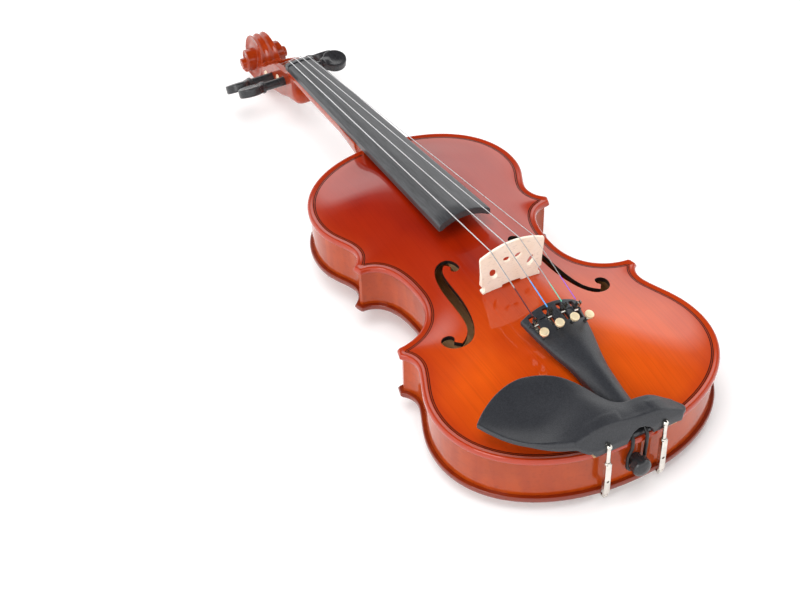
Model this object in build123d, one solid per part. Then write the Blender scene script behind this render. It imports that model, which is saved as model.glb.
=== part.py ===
from build123d import *
import math
import os

import numpy as np

# A full-size violin, modelled in millimetres in its own working frame:
# X runs across (treble side positive), Y from the tail edge towards the scroll, Z from back to front.
# The last step lays it on its back and moves it to the row frame.

# ---- body ----
BACK_GLUE, TOP_GLUE = 15.0, 46.0        # planes where the plates meet the ribs
EDGE = 4.0                              # plate thickness at the edge
TOP_RISE, BACK_RISE = 15.5, 15.0        # height of each arch above its glue plane
PLATE = 3.0                             # plate thickness in the middle
RIB_IN, RIB_THICK = 3.0, 1.2            # overhang of the plates, thickness of the ribs
LINING_THICK, LINING_HIGH = 2.0, 8.0
HOLLOW_IN = 7.0                         # where the plates' hollow starts
PURFLING_IN, PURFLING_WIDE, PURFLING_DEEP = 4.4, 1.8, 1.8
BODY_LONG = 356.0
HALF = 120.0                            # more than half the body's width
LOWER_CORNER_Y, UPPER_CORNER_Y = 144.6, 235.0
CORNER_BLOCKS = (((70, 100), (118, 162)), ((60, 90), (216, 256)))  # treble side, (x, y) ranges
BUTTON_RADIUS = 10.5                    # the back's tongue behind the heel
END_BLOCK_HALF, END_BLOCK_DEEP = 22.0, 15.0
NECK_BLOCK_HALF, NECK_BLOCK_DEEP = 27.0, 15.0
GRID = 6.0                              # spacing of the points that carry an arch
POST_RADIUS, POST_PLACE = 3.0, (19.0, 150.0)
BAR_HALF, BAR_X, BAR_Y = 2.75, -16.5, (46.0, 316.0)
INSIDE_TOP = 62.0                       # above every inside piece

# ---- neck and fingerboard ----
NUT_Y, NUT_Z = 487.0, 43.5              # front lower edge of the nut
NECK_SLOPE = 5.85                       # degrees, rising towards the bridge
BOARD_LONG, BOARD_NARROW, BOARD_WIDE = 270.0, 24.0, 42.0
BOARD_RADIUS, BOARD_EDGE, BOARD_HOLLOW = 42.0, 5.0, 36.6
HOLLOW_FROM = 150.0                     # where the fingerboard's hollow starts, from the nut
NUT_LONG, NUT_PROUD = 5.5, 0.9
HEEL_SINK = 6.0                         # depth of the heel in the neck block
NUT_SPACING, BRIDGE_SPACING = 5.5, 11.3  # between neighbouring strings
STRING_GAP = 0.09                       # left between a string and what it rests on

# ---- head ----
HEAD_SLOPE = 24.75                      # degrees, the line of the pegs falls away from the neck
PEG_START = (498.8, 28.0)               # first peg axis, (y, z)
PEG_STEP = 15.45
SHAFT_RADIUS, PEG_FIT = 3.7, 0.05
PEG_REACH = {0: 12.0, 1: 11.3, 2: 10.7, 3: 10.0}  # far end of each shaft from the middle, by place
COIL_LONG = 4.4                         # width of the string wound on each peg
CAVITY_FRONT, CAVITY_BACK = 7.6, 5.2    # half width of the pegbox cavity at its two ends
EYE = (71.8, 9.6)                       # scroll centre along and above the line of the pegs

# ---- bridge, tailpiece and fittings ----
BRIDGE_X, BRIDGE_Y, BRIDGE_TOP = 1.0, 157.3, 99.1
BRIDGE_FOOT, BRIDGE_CROWN = 4.5, 1.8    # thickness at the feet and at the crown
TAIL_FRONT, TAIL_REAR = 109.4, 2.5      # ends of the tailpiece along Y
TAIL_TOP_FRONT, TAIL_TOP_REAR = 81.4, 65.0
TAIL_HALF, TAIL_DROP, TAIL_SHELL = 23.0, 6.4, 3.6  # front end: half width, arch, thickness
BUTTON_Z, BUTTON_SHANK = 30.5, 3.9
GUT_RADIUS, GUT_HALF = 1.25, 5.4
SADDLE_HALF, SADDLE_TOP, SADDLE_Y = 11.6, 54.0, (2.0, 7.5)
TUNER_X = (-16.0, -5.3, 5.3, 16.0)      # bases of the fine tuner screws on the tailpiece
TUNER_Y = 88.0
TUNER_FAN, TUNER_LEAN = 0.75, 18.0      # degrees per mm off centre, degrees towards the tail
STEM_RADIUS, STEM_FIT = 1.2, 0.05
SLOT_HALF, SLOT_ENDS = 1.9, (3.6, 18.2)
LEVER_PIN, PIN_RADIUS = (11.6, -3.4), 0.6  # the lever's pin, (y, z) in the tuner's frame
ARM_TOP = -5.2                          # where the screw's tip presses the lever
KNOB_BASE, KNOB_TALL, KNOB_RADIUS = 5.6, 2.6, 3.2

# ---- chin rest and clamp ----
CHIN_THICK = 4.6
CHIN_REGION, CHIN_GRID = ((-99, 42), (-9, 69)), 4.0  # the surfaces' rectangle, the spacing of their points
CHIN_CEILING = 84.0                     # above every point of the chin rest
TAIL_ROOM = ((-13, 12), (2.4, 30), (40, 67.8))  # left free under the chin rest for the tailpiece
SKIRT_X, SKIRT_Y, SKIRT_LOW = (-33.0, 31.0), (-4.0, 2.4), 53.0
ARCH_RADIUS, ARCH_MIDDLE = 10.0, (0.0, 52.6)  # opening for the gut, (x, z)
FEET_X, FEET_Y, FOOT_Z = ((-33.0, -13.0), (12.0, 30.0)), (0.6, 9.5), 52.0
CLAMP_X, CLAMP_Y = (-25.2, 17.2), -3.8
POST_WIRE, POST_PIN_Z = 1.5, 60.2       # radius of the bent wires, height of their pins
BARREL_HALF, BARREL_Z, BORE_FIT = 2.2, (18.0, 46.5), 0.05
FOOT_ROD = 1.3                          # radius of the rods that rise from the clamp's foot
FOOT_TOP, FOOT_THICK, ARM_HIGH = 9.7, 1.3, 16.6

# ---- resting on the back ----
REST_TILT = 2.21                        # degrees about X that bring scroll and back to one plane
REST_SHIFT = (0.0, -289.27, -3.51)      # then the move that puts the origin under the middle

STRINGS = {"g": 0.42, "d": 0.39, "a": 0.34, "e": 0.26}       # radii of the wound strings, bass first
PEG_SIDE = {"g": (0, -1), "d": (2, -1), "a": (3, 1), "e": (1, 1)}  # place along the pegbox, side of the head
PEG_TURN = {"g": 62.0, "d": 56.0, "a": 50.0, "e": -80.0}    # degrees, how each thumb piece is left standing


# ---------------------------------------------------------------- outline and arching

OUTLINE = [                             # right half, tail to neck, as Bezier curves
    [(0, 0), (60, 0), (104, 31), (104, 76)],
    [(104, 76), (104, 98), (95, 110), (90.3, 124)],
    [(90.3, 124), (88.3, 130.5), (89.5, 137), (95.2, 141.2)],
    [(95.2, 141.2), (93.4, 148.2)],
    [(93.4, 148.2), (72, 149.5), (55.5, 165), (55.5, 190)],
    [(55.5, 190), (55.5, 213), (60.5, 231), (78.6, 230.4)],
    [(78.6, 230.4), (80.8, 236.8)],
    [(80.8, 236.8), (74.6, 241), (71.8, 247.5), (72.8, 254)],
    [(72.8, 254), (75, 265.5), (84, 272), (84, 291)],
    [(84, 291), (84, 328), (50, 356), (0, 356)],
]

F_HOLE = [                              # treble side, both edges from the upper eye round to it again
    [(21.4, 190.5), (21.4, 199.5), (26.5, 203.5), (31.5, 202.2)],
    [(31.5, 202.2), (38.4, 200.5), (40.2, 188), (41, 176)],
    [(41, 176), (42, 160), (42.2, 147), (45, 138.5)],
    [(45, 138.5), (46.6, 133.5), (49.8, 129.5), (55, 127)],
    [(55, 127), (61.3, 135.5)],
    [(61.3, 135.5), (65.9, 135.5)],
    [(65.9, 135.5), (66.2, 127.5), (59, 122.6), (51.6, 124)],
    [(51.6, 124), (43, 126), (38, 140), (35.6, 156)],
    [(35.6, 156), (33.8, 168), (34.6, 182), (33.4, 190)],
    [(33.4, 190), (32.8, 194), (31.5, 197), (28.6, 198.2)],
    [(28.6, 198.2), (24.5, 190.5)],
    [(24.5, 190.5), (21.4, 190.5)],
]
F_EYES = [((24.5, 190.5), 3.1), ((61.3, 135.5), 4.6)]


def curve(points):
    return Line(*points) if len(points) == 2 else Bezier(*points)


def mirrored(points):
    return [(-x, y) for x, y in reversed(points)]


def outline_face():
    edges = [curve(c) for c in OUTLINE] + [curve(mirrored(c)) for c in reversed(OUTLINE)]
    return make_face(Curve() + edges)


def sampled_outline(per_curve=48):
    t = np.linspace(0, 1, per_curve, endpoint=False)[:, None]
    half = []
    for c in OUTLINE:
        p = np.array(c, float)
        if len(p) == 2:
            half.append(p[0] * (1 - t) + p[1] * t)
        else:
            early, late = 3 * t * (1 - t) ** 2, 3 * t * t * (1 - t)
            half.append(p[0] * (1 - t) ** 3 + p[1] * early + p[2] * late + p[3] * t**3)
    right = np.concatenate(half)
    return np.concatenate([right, right[::-1] * [-1, 1]])


BOUNDARY = sampled_outline()
MIDDLES = (BOUNDARY + np.roll(BOUNDARY, -1, 0)) / 2
PIECES = np.linalg.norm(np.roll(BOUNDARY, -1, 0) - BOUNDARY, axis=1)


def ease(low, high, value):
    """0 at low, 1 at high, with a soft start and end."""
    t = min(max((value - low) / (high - low), 0.0), 1.0)
    return t * t * (3 - 2 * t)


def inside(x, y):
    a, b = BOUNDARY, np.roll(BOUNDARY, -1, 0)
    spans = (a[:, 1] > y) != (b[:, 1] > y)
    rise = np.where(spans, b[:, 1] - a[:, 1], 1.0)
    cross = a[:, 0] + (y - a[:, 1]) * (b[:, 0] - a[:, 0]) / rise
    return np.count_nonzero(spans & (cross > x)) % 2 == 1


def fullness(x, y):
    """0 at the edge of the plates, 1 on the flat of the arch."""
    if not inside(x, y):
        return 0.0
    reach = np.hypot(MIDDLES[:, 0] - x, MIDDLES[:, 1] - y)
    depth = (0.5 * np.sum(PIECES / reach**3)) ** -0.5
    wide = 65 + (39 - 65) * ease(110, 190, y) + (52 - 39) * ease(190, 262, y)
    return (1 - math.cos(math.pi * min(depth / wide, 1.0))) / 2


def surface(height, x_ends, y_ends, step=GRID):
    """A smooth face through height(x, y) over a rectangle."""
    xs = np.linspace(*x_ends, round((x_ends[1] - x_ends[0]) / step) + 1)
    ys = np.linspace(*y_ends, round((y_ends[1] - y_ends[0]) / step) + 1)
    points = [[Vector(x, y, height(x, y)) for y in ys] for x in xs]
    return Face.make_surface_from_array_of_points(points, tol=0.02)


def above(face, rise=40.0):
    """Everything over a face, for trimming."""
    return Solid.extrude(face, Vector(0, 0, rise))


def below(face, drop=40.0):
    """Everything under a face, for trimming."""
    return Solid.extrude(Pos(0, 0, -drop) * face, Vector(0, 0, drop))


PLATE_X, PLATE_Y = (-111.0, 111.0), (-8.0, 370.0)
FULL = {}


def full_at(x, y):
    key = (round(x, 3), round(y, 3))
    if key not in FULL:
        FULL[key] = fullness(x, y)
    return FULL[key]


def top_outer(x, y):
    return TOP_GLUE + EDGE + (TOP_RISE - EDGE) * full_at(x, y)


def top_inner(x, y):
    return TOP_GLUE + (TOP_RISE - PLATE) * full_at(x, y)


def back_outer(x, y):
    return BACK_GLUE - EDGE - (BACK_RISE - EDGE) * full_at(x, y)


def back_inner(x, y):
    return BACK_GLUE - (BACK_RISE - PLATE) * full_at(x, y)


OUTER_TOP = surface(top_outer, PLATE_X, PLATE_Y)
INNER_TOP = surface(top_inner, PLATE_X, PLATE_Y)
OUTER_BACK = surface(back_outer, PLATE_X, PLATE_Y)
INNER_BACK = surface(back_inner, PLATE_X, PLATE_Y)
BODY = outline_face()


def slab(face, low, high):
    """The part of an outline between two heights."""
    return extrude(Pos(0, 0, low) * face, amount=high - low)


def inset(distance, samples=8):
    """The outline moved inwards, with its edges drawn again as splines."""
    wire = offset(BODY, amount=-distance, kind=Kind.ARC).faces()[0].outer_wire()
    edges = []
    for edge in wire.edges():
        if edge.length > 0.01:
            points = [edge @ (k / samples) for k in range(samples + 1)]
            edges.append(Spline(*points, tangents=[edge % 0, edge % 1]))
    return Sketch() + Face(Wire(edges))


def box(x, y, z):
    """A box from its ends along each axis."""
    size = [b - a for a, b in (x, y, z)]
    centre = [(a + b) / 2 for a, b in (x, y, z)]
    return Pos(*centre) * Box(*size)


def rod(start, end, radius):
    start, end = Vector(*start), Vector(*end)
    return Solid.make_cylinder(radius, (end - start).length, Plane(origin=start, z_dir=end - start))


def polygon(points):
    return make_face(Polyline(*points, close=True))


# ---------------------------------------------------------------- neck frame and heel room

SLOPE = math.radians(NECK_SLOPE)


def on_neck(along, across, up):
    """A point given from the nut's front edge towards the bridge, across, and square to the neck's top."""
    y = NUT_Y - along * math.cos(SLOPE) + up * math.sin(SLOPE)
    z = NUT_Z + along * math.sin(SLOPE) + up * math.cos(SLOPE)
    return Vector(across, y, z)


def neck_section(along):
    """A plane square to the neck: local X is across, local Y is up."""
    return Plane(origin=on_neck(along, 0, 0), x_dir=(1, 0, 0), z_dir=(0, -math.cos(SLOPE), math.sin(SLOPE)))


def board_width(along):
    return BOARD_NARROW + (BOARD_WIDE - BOARD_NARROW) * along / BOARD_LONG


def heel_half(z):
    """Half the heel's width, growing from the button to the fingerboard."""
    return BUTTON_RADIUS + (z - BACK_GLUE) * 0.116


def heel_room():
    """The tapered mortise that the heel fills, through the top's edge and the rib into the neck block."""
    wide, narrow = heel_half(60), BUTTON_RADIUS
    section = polygon([(-narrow, BACK_GLUE), (narrow, BACK_GLUE), (wide, 60), (-wide, 60)])
    start = BODY_LONG - RIB_IN - HEEL_SINK
    plane = Plane(origin=(0, start, 0), x_dir=(-1, 0, 0), z_dir=(0, 1, 0))
    return extrude(plane * section, amount=HEEL_SINK + 20)


HEEL_ROOM = heel_room()


# ---------------------------------------------------------------- plates, ribs and inside work

def purfling_band():
    return inset(PURFLING_IN) - inset(PURFLING_IN + PURFLING_WIDE)


def f_hole(side):
    edges = [curve([(side * x, y) for x, y in c]) for c in F_HOLE]
    hole = slab(make_face(Curve() + edges), TOP_GLUE - 1, TOP_GLUE + 20)
    for (x, y), radius in F_EYES:
        hole += Pos(side * x, y, TOP_GLUE + 9) * Cylinder(radius, 22)
    return hole


def purfling_top():
    band = slab(purfling_band(), TOP_GLUE + EDGE - PURFLING_DEEP, TOP_GLUE + 8)
    band -= above(OUTER_TOP)
    return band - HEEL_ROOM - saddle_room()


def purfling_back():
    return slab(purfling_band(), BACK_GLUE - EDGE - 0.1, BACK_GLUE - EDGE + PURFLING_DEEP)


def saddle_room():
    return box((-SADDLE_HALF, SADDLE_HALF), SADDLE_Y, (TOP_GLUE, SADDLE_TOP + 1))


def top_plate():
    plate = slab(BODY, TOP_GLUE, TOP_GLUE + 20) - above(OUTER_TOP)
    hollow = slab(inset(HOLLOW_IN), TOP_GLUE - 1, TOP_GLUE + 20) - above(INNER_TOP)
    plate -= hollow
    plate -= f_hole(1)
    plate -= f_hole(-1)
    return plate - HEEL_ROOM - saddle_room() - PARTS["purfling_top"]


def back_plate():
    plate = slab(BODY, BACK_GLUE - 20, BACK_GLUE) - below(OUTER_BACK)
    hollow = slab(inset(HOLLOW_IN), BACK_GLUE - 20, BACK_GLUE + 1) - below(INNER_BACK)
    button = Pos(0, BODY_LONG - 2, BACK_GLUE - EDGE / 2) * Cylinder(BUTTON_RADIUS, EDGE)
    plate = plate - hollow + button
    return plate - slab(purfling_band(), 0, BACK_GLUE - EDGE + PURFLING_DEEP)


def ring(outer, inner, low, high):
    return slab(inset(outer) - inset(inner), low, high)


BOUT_SPANS = {"lower": (-5, LOWER_CORNER_Y), "centre": (LOWER_CORNER_Y, UPPER_CORNER_Y),
              "upper": (UPPER_CORNER_Y, BODY_LONG + 5)}
SIDES = {"bass": (-HALF, 0), "treble": (0, HALF)}


def ribs():
    whole = ring(RIB_IN, RIB_IN + RIB_THICK, BACK_GLUE, TOP_GLUE) - HEEL_ROOM
    whole -= rod((0, -5, BUTTON_Z), (0, 30, BUTTON_Z), BUTTON_SHANK)
    for bout, along in BOUT_SPANS.items():
        for side, across in SIDES.items():
            PARTS[f"rib_{bout}_{side}"] = whole & box(across, along, (0, 60))


def blocks():
    room = slab(inset(RIB_IN + RIB_THICK), BACK_GLUE, TOP_GLUE)
    start = RIB_IN + RIB_THICK
    end_block = room & box((-END_BLOCK_HALF, END_BLOCK_HALF), (0, start + END_BLOCK_DEEP), (0, 60))
    PARTS["end_block"] = end_block - rod((0, -5, BUTTON_Z), (0, 30, BUTTON_Z), BUTTON_SHANK)
    inner = BODY_LONG - start - NECK_BLOCK_DEEP
    neck_block = room & box((-NECK_BLOCK_HALF, NECK_BLOCK_HALF), (inner, BODY_LONG), (0, 60))
    PARTS["neck_block"] = neck_block - HEEL_ROOM
    corners = Part()
    for side in (-1, 1):
        for x, y in CORNER_BLOCKS:
            across = x if side > 0 else (-x[1], -x[0])
            corners += room & box(across, y, (0, 60))
    PARTS["corner_blocks"] = corners


def linings():
    taken = [PARTS[name] for name in ("end_block", "neck_block", "corner_blocks")]
    for name, low in (("linings_top", TOP_GLUE - LINING_HIGH), ("linings_back", BACK_GLUE)):
        strip = ring(RIB_IN + RIB_THICK, RIB_IN + RIB_THICK + LINING_THICK, low, low + LINING_HIGH)
        for piece in taken:
            strip -= piece
        PARTS[name] = strip - HEEL_ROOM


def bass_bar():
    start, end = BAR_Y
    lens = polygon([(start, INSIDE_TOP), (start, 50), (130, 47.5),
                    (232, 47.5), (end, 50), (end, INSIDE_TOP)])
    plane = Plane(origin=(BAR_X - BAR_HALF, 0, 0), x_dir=(0, 1, 0), z_dir=(1, 0, 0))
    bar = extrude(plane * lens, amount=2 * BAR_HALF)
    return bar - above(INNER_TOP)


def sound_post():
    post = rod((*POST_PLACE, 0), (*POST_PLACE, INSIDE_TOP), POST_RADIUS)
    return post - above(INNER_TOP) - below(INNER_BACK)


# ---------------------------------------------------------------- neck, fingerboard and nut

def board_face(width, raise_by=0.0):
    """Section of the fingerboard: flat below, an arc on top."""
    half = width / 2
    crown = BOARD_EDGE + raise_by + BOARD_RADIUS - math.sqrt(BOARD_RADIUS**2 - half**2)
    side = BOARD_EDGE + raise_by
    edges = [Line((-half, 0), (half, 0)), Line((half, 0), (half, side)),
             ThreePointArc((half, side), (0, crown), (-half, side)), Line((-half, side), (-half, 0))]
    return make_face(Curve() + edges)


def hollow_face(width):
    half = width / 2
    centre = BOARD_EDGE - math.sqrt(BOARD_RADIUS**2 - half**2)
    reach = math.sqrt(BOARD_HOLLOW**2 - (centre + 1) ** 2)
    edges = [Line((-reach, -1), (reach, -1)),
             ThreePointArc((reach, -1), (0, centre + BOARD_HOLLOW), (-reach, -1))]
    return make_face(Curve() + edges)


def fingerboard():
    board = loft([neck_section(0) * board_face(BOARD_NARROW),
                  neck_section(BOARD_LONG) * board_face(BOARD_WIDE)], ruled=True)
    hollow = loft([neck_section(HOLLOW_FROM) * hollow_face(board_width(HOLLOW_FROM)),
                   neck_section(BOARD_LONG + 1) * hollow_face(board_width(BOARD_LONG + 1))], ruled=True)
    return board - hollow


def nut():
    return loft([neck_section(0) * board_face(BOARD_NARROW, NUT_PROUD),
                 neck_section(-NUT_LONG) * board_face(BOARD_NARROW, NUT_PROUD - 0.5)], ruled=True)


def neck_face(width, deep):
    """Section of the neck's handle: flat on top, half round below."""
    half = width / 2
    edges = [Line((-half, 0), (half, 0)), Line((half, 0), (half, -1.5)),
             Bezier((half, -1.5), (half, -deep * 0.78), (half * 0.55, -deep), (0, -deep)),
             Bezier((0, -deep), (-half * 0.55, -deep), (-half, -deep * 0.78), (-half, -1.5)),
             Line((-half, -1.5), (-half, 0))]
    return make_face(Curve() + edges)


def heel_face(half, reach):
    """Level section of the heel, flat against the rib and rounded towards the hand."""
    start = BODY_LONG - RIB_IN - HEEL_SINK
    edges = [Line((-half, start), (half, start)), Line((half, start), (half, start + HEEL_SINK + 1)),
             Bezier((half, start + HEEL_SINK + 1), (half, start + reach * 0.8),
                    (half * 0.6, start + reach), (0, start + reach)),
             Bezier((0, start + reach), (-half * 0.6, start + reach),
                    (-half, start + reach * 0.8), (-half, start + HEEL_SINK + 1)),
             Line((-half, start + HEEL_SINK + 1), (-half, start))]
    return make_face(Curve() + edges)


def at_height(z, face):
    return Pos(0, 0, z) * face


def handle():
    """The part of the neck that the hand holds, and the heel under it."""
    shaft = loft([neck_section(-2) * neck_face(24, 13.0), neck_section(60) * neck_face(board_width(60), 13.6),
                  neck_section(118) * neck_face(board_width(118), 15.0)])
    over_heel = [neck_section(along) * neck_face(board_width(along), 15.0) for along in (118, 129)]
    shaft += loft(over_heel, ruled=True)
    levels = ((BACK_GLUE, 19.6), (22, 19.8), (30, 23.5), (37, 31.0), (44, 42.0), (60, 44.0))
    faces = [at_height(z, heel_face(heel_half(z) - 0.01, reach)) for z, reach in levels]
    heel = loft(faces[:-1]) + loft(faces[-2:], ruled=True)
    lid = Plane(origin=on_neck(0, 0, 0), x_dir=(1, 0, 0), z_dir=(0, math.sin(SLOPE), math.cos(SLOPE)))
    heel -= extrude(lid * Rectangle(80, 700), amount=60)
    return shaft + heel


def side_slab(face, half):
    """A slab from a face in the head's side view, with X along the pegs and Y above them."""
    tilt = math.radians(HEAD_SLOPE)
    plane = Plane(origin=(-half, *PEG_START), x_dir=(0, math.cos(tilt), -math.sin(tilt)), z_dir=(1, 0, 0))
    return extrude(plane * face, amount=2 * half)


def head_point(along, above, across=0.0):
    tilt = math.radians(HEAD_SLOPE)
    y, z = PEG_START
    return Vector(across, y + along * math.cos(tilt) + above * math.sin(tilt),
                  z - along * math.sin(tilt) + above * math.cos(tilt))


def plan_wedge(front, back, start, end, low=-40, high=60):
    """A wedge seen square to the line of the pegs, as wide as front at start and back at end."""
    tilt = math.radians(HEAD_SLOPE)
    plane = Plane(origin=head_point(0, low), x_dir=(0, math.cos(tilt), -math.sin(tilt)),
                  z_dir=(0, math.sin(tilt), math.cos(tilt)))
    face = polygon([(start, -front), (end, -back), (end, back), (start, front)])
    return extrude(plane * face, amount=high - low)


def turn_face(radii, start_angle):
    """One turn of the volute: a spline through radii given every 45 degrees, closed to the eye."""
    points = []
    for i, radius in enumerate(radii):
        angle = math.radians(start_angle + 45 * i)
        points.append((EYE[0] + radius * math.cos(angle), EYE[1] + radius * math.sin(angle)))
    edges = [Spline(*points), Line(points[-1], EYE), Line(EYE, points[0])]
    return make_face(Curve() + edges)


def pegbox_face():
    """Side view of the pegbox: top edge, throat, back and chin."""
    edges = [Polyline((-19.5, 8.4), (-4, 8.5), (4, 10.8), (14, 12.2), (30, 11), (50, 7.5), (60, 9.6),
                      (71.8, 9.6), (71.8, -14.9)),
             Spline((71.8, -14.9), (50, -12), (20, -15.2), (-6, -21), (-12, -20.5), (-18.5, -9),
                    tangents=[(-1, 0), (-0.35, 1)]),
             Line((-18.5, -9), (-19.5, 8.4))]
    return make_face(Curve() + edges)


def cavity_face():
    return make_face(Curve() + [Polyline((-9.5, 20), (-9.5, -8), (-5, -13.5), (30, -9.5), (50, -7),
                                         (53, 0), (53, 20), (-9.5, 20))])


def head():
    solid = side_slab(pegbox_face(), 20) & plan_wedge(12.4, 8.6, -20, 72)
    volute = side_slab(turn_face((24.5, 24.6, 23.5, 22.8, 21.5, 20.2, 18.5, 18), 270), 7)
    volute += side_slab(turn_face((18.5, 16, 14, 13.2, 12.5, 11.8, 11, 10, 9), 180), 13)
    volute += side_slab(Pos(*EYE) * Circle(7.4), 17)
    volute += side_slab(Pos(*EYE) * Circle(4.6), 21)
    solid += volute
    solid -= side_slab(cavity_face(), 20) & plan_wedge(CAVITY_FRONT, CAVITY_BACK, -12, 56)
    for i in range(4):
        low, high = head_point(PEG_STEP * i, 0, -30), head_point(PEG_STEP * i, 0, 30)
        solid -= rod(tuple(low), tuple(high), SHAFT_RADIUS + PEG_FIT)
    return solid


def neck():
    return handle() + head()


# ---------------------------------------------------------------- pegs and strings

def peg(place, side, turn):
    """A peg: shaft, collar, cone and a round thumb piece with dished cheeks."""
    centre = head_point(PEG_STEP * place, 0)
    plane = Plane(origin=centre, x_dir=(0, 1, 0), z_dir=(side, 0, 0))
    shaft = rod((0, 0, -PEG_REACH[place]), (0, 0, 30), SHAFT_RADIUS)
    collar = Pos(0, 0, 30.6) * Cylinder(4.9, 2.2)
    neck_cone = Pos(0, 0, 33.4) * Cone(4.2, 3.2, 3.6)
    thumb = Pos(0, 0, 42.0) * Rot(0, 90, 0) * Cylinder(10.2, 7.4)
    for cheek in (-1, 1):
        thumb -= Pos(cheek * 27.4, 0, 42) * Rot(0, 90, 0) * Sphere(25)
    return plane * Rot(0, 0, side * turn) * (shaft + collar + neck_cone + thumb)


def crown_height(across):
    """Height of the bridge's crown, whose middle is the last curve of its outline."""
    curve_x, curve_z = np.array(BRIDGE_OUTER[-1]).T
    t = np.linspace(0, 1, 200)
    weights = np.array([(1 - t) ** 3, 3 * t * (1 - t) ** 2, 3 * t * t * (1 - t), t**3])
    x, z = curve_x @ weights, curve_z @ weights
    return float(np.interp(abs(across), x[::-1], z[::-1]))


def string_line(place, index):
    """Where one string runs: on its peg, at the nut, over the bridge and at the tailpiece."""
    offset_x = index - 1.5
    radius = list(STRINGS.values())[index]
    across_nut = offset_x * NUT_SPACING
    across_bridge = offset_x * BRIDGE_SPACING
    crown = BOARD_EDGE + NUT_PROUD + math.sqrt(BOARD_RADIUS**2 - across_nut**2) \
        - math.sqrt(BOARD_RADIUS**2 - (BOARD_NARROW / 2) ** 2)
    at_nut = on_neck(0, across_nut, crown + radius + STRING_GAP)
    after_nut = on_neck(-NUT_LONG - 0.3, across_nut, crown - 0.35 + radius)
    bridge_height = crown_height(across_bridge)
    over_bridge = Vector(BRIDGE_X + across_bridge, BRIDGE_Y, bridge_height + radius + STRING_GAP)
    centre = head_point(PEG_STEP * place, 0)
    coil_top = SHAFT_RADIUS + 0.1 + 3 * radius
    on_peg = centre + (head_point(0, coil_top) - head_point(0, 0)) + Vector(across_nut * 0.45, 0, 0)
    return on_peg, after_nut, at_nut, over_bridge, radius


def string(letter, index):
    place, _ = PEG_SIDE[letter]
    on_peg, after_nut, at_nut, over_bridge, radius = string_line(place, index)
    end = tuner_point(index, 0, 14.6 + 1.6, 3.2)
    route = [on_peg, after_nut, at_nut, over_bridge, end]
    solid = Part()
    for a, b in zip(route, route[1:]):
        solid += rod(tuple(a), tuple(b), radius)
    for corner in route[1:-1]:
        solid += Pos(*tuple(corner)) * Sphere(radius)
    return solid


def string_coil(letter, index):
    """The turns of string wound on the peg, as one sleeve."""
    place, _ = PEG_SIDE[letter]
    on_peg, _, _, _, radius = string_line(place, index)
    inner, outer = SHAFT_RADIUS + 0.02, SHAFT_RADIUS + 2 * radius
    centre = head_point(PEG_STEP * place, 0)
    plane = Plane(origin=(on_peg.X, centre.Y, centre.Z), x_dir=(0, 1, 0), z_dir=(1, 0, 0))
    return plane * (Cylinder(outer, COIL_LONG) - Cylinder(inner, COIL_LONG + 2))


# ---------------------------------------------------------------- bridge

BRIDGE_OUTER = [                        # right half, from the arch over the feet up to the crown
    [(0, 63.4), (7.4, 63.0)],
    [(7.4, 63.0), (8.2, 50)],
    [(8.2, 50), (22.6, 50)],
    [(22.6, 50), (22.9, 62)],
    [(22.9, 62), (21.2, 63)],
    [(21.2, 63), (21.4, 66.6)],
    [(21.4, 66.6), (23.8, 67.6)],
    [(23.8, 67.6), (24.4, 79.5), (25.2, 85.5), (25.4, 90.5)],
    [(25.4, 90.5), (25.4, 92.5), (24.6, 93.4), (23.4, 93.3)],
    [(23.4, 93.3), (16, 97.1), (8, BRIDGE_TOP), (0, BRIDGE_TOP)],
]
BRIDGE_HOLES = [(4.5, 84.8, 14, 2.6, 1.5), (14.8, 76.0, 65, 4.2, 2.1)]  # x, z, turn, half axes


def bridge():
    edges = [curve(c) for c in BRIDGE_OUTER] + [curve(mirrored(c)) for c in reversed(BRIDGE_OUTER)]
    face = make_face(Curve() + edges)
    for x, z, turn, long, short in BRIDGE_HOLES:
        for side in (-1, 1):
            face -= Pos(side * x, z) * Rot(0, 0, side * turn) * Ellipse(long, short)
    rear = BRIDGE_Y - BRIDGE_CROWN / 2
    plane = Plane(origin=(BRIDGE_X, rear, 0), x_dir=(-1, 0, 0), z_dir=(0, 1, 0))
    blank = extrude(plane * face, amount=BRIDGE_FOOT)
    taper = polygon([(rear, 45), (rear + BRIDGE_FOOT, 45), (rear + BRIDGE_FOOT, 64),
                     (rear + BRIDGE_CROWN, BRIDGE_TOP + 1), (rear, BRIDGE_TOP + 1)])
    side_view = Plane(origin=(BRIDGE_X - 30, 0, 0), x_dir=(0, 1, 0), z_dir=(1, 0, 0))
    solid = blank & extrude(side_view * taper, amount=60)
    return solid - below(OUTER_TOP)


# ---------------------------------------------------------------- tailpiece and fine tuners

TAIL_EDGE = [                           # right half of the tailpiece seen from above, rear to front
    [(0, TAIL_REAR), (8.6, TAIL_REAR)],
    [(8.6, TAIL_REAR), (8.8, 30), (9.4, 52), (14, 68)],
    [(14, 68), (17, 78.5), (19.5, 92), (21.9, 108.4)],
    [(21.9, 108.4), (15, 109), (7, TAIL_FRONT), (0, TAIL_FRONT)],
]


def tail_height(along):
    """Height of the tailpiece's ridge."""
    t = (along - TAIL_REAR) / (TAIL_FRONT - TAIL_REAR)
    return TAIL_TOP_REAR + (TAIL_TOP_FRONT - TAIL_TOP_REAR) * t


def tail_section(along, half, drop, thick):
    """Arched section of the tailpiece; drop is how far its edges lie below the ridge."""
    top = tail_height(along)
    face = make_face(Curve() + [
        ThreePointArc((-half, top - drop), (0, top), (half, top - drop)),
        Line((half, top - drop), (half, top - drop - thick)),
        ThreePointArc((half, top - drop - thick), (0, top - thick), (-half, top - drop - thick)),
        Line((-half, top - drop - thick), (-half, top - drop))])
    plane = Plane(origin=(0, along, 0), x_dir=(1, 0, 0), z_dir=(0, -1, 0))
    return plane * face


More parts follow.
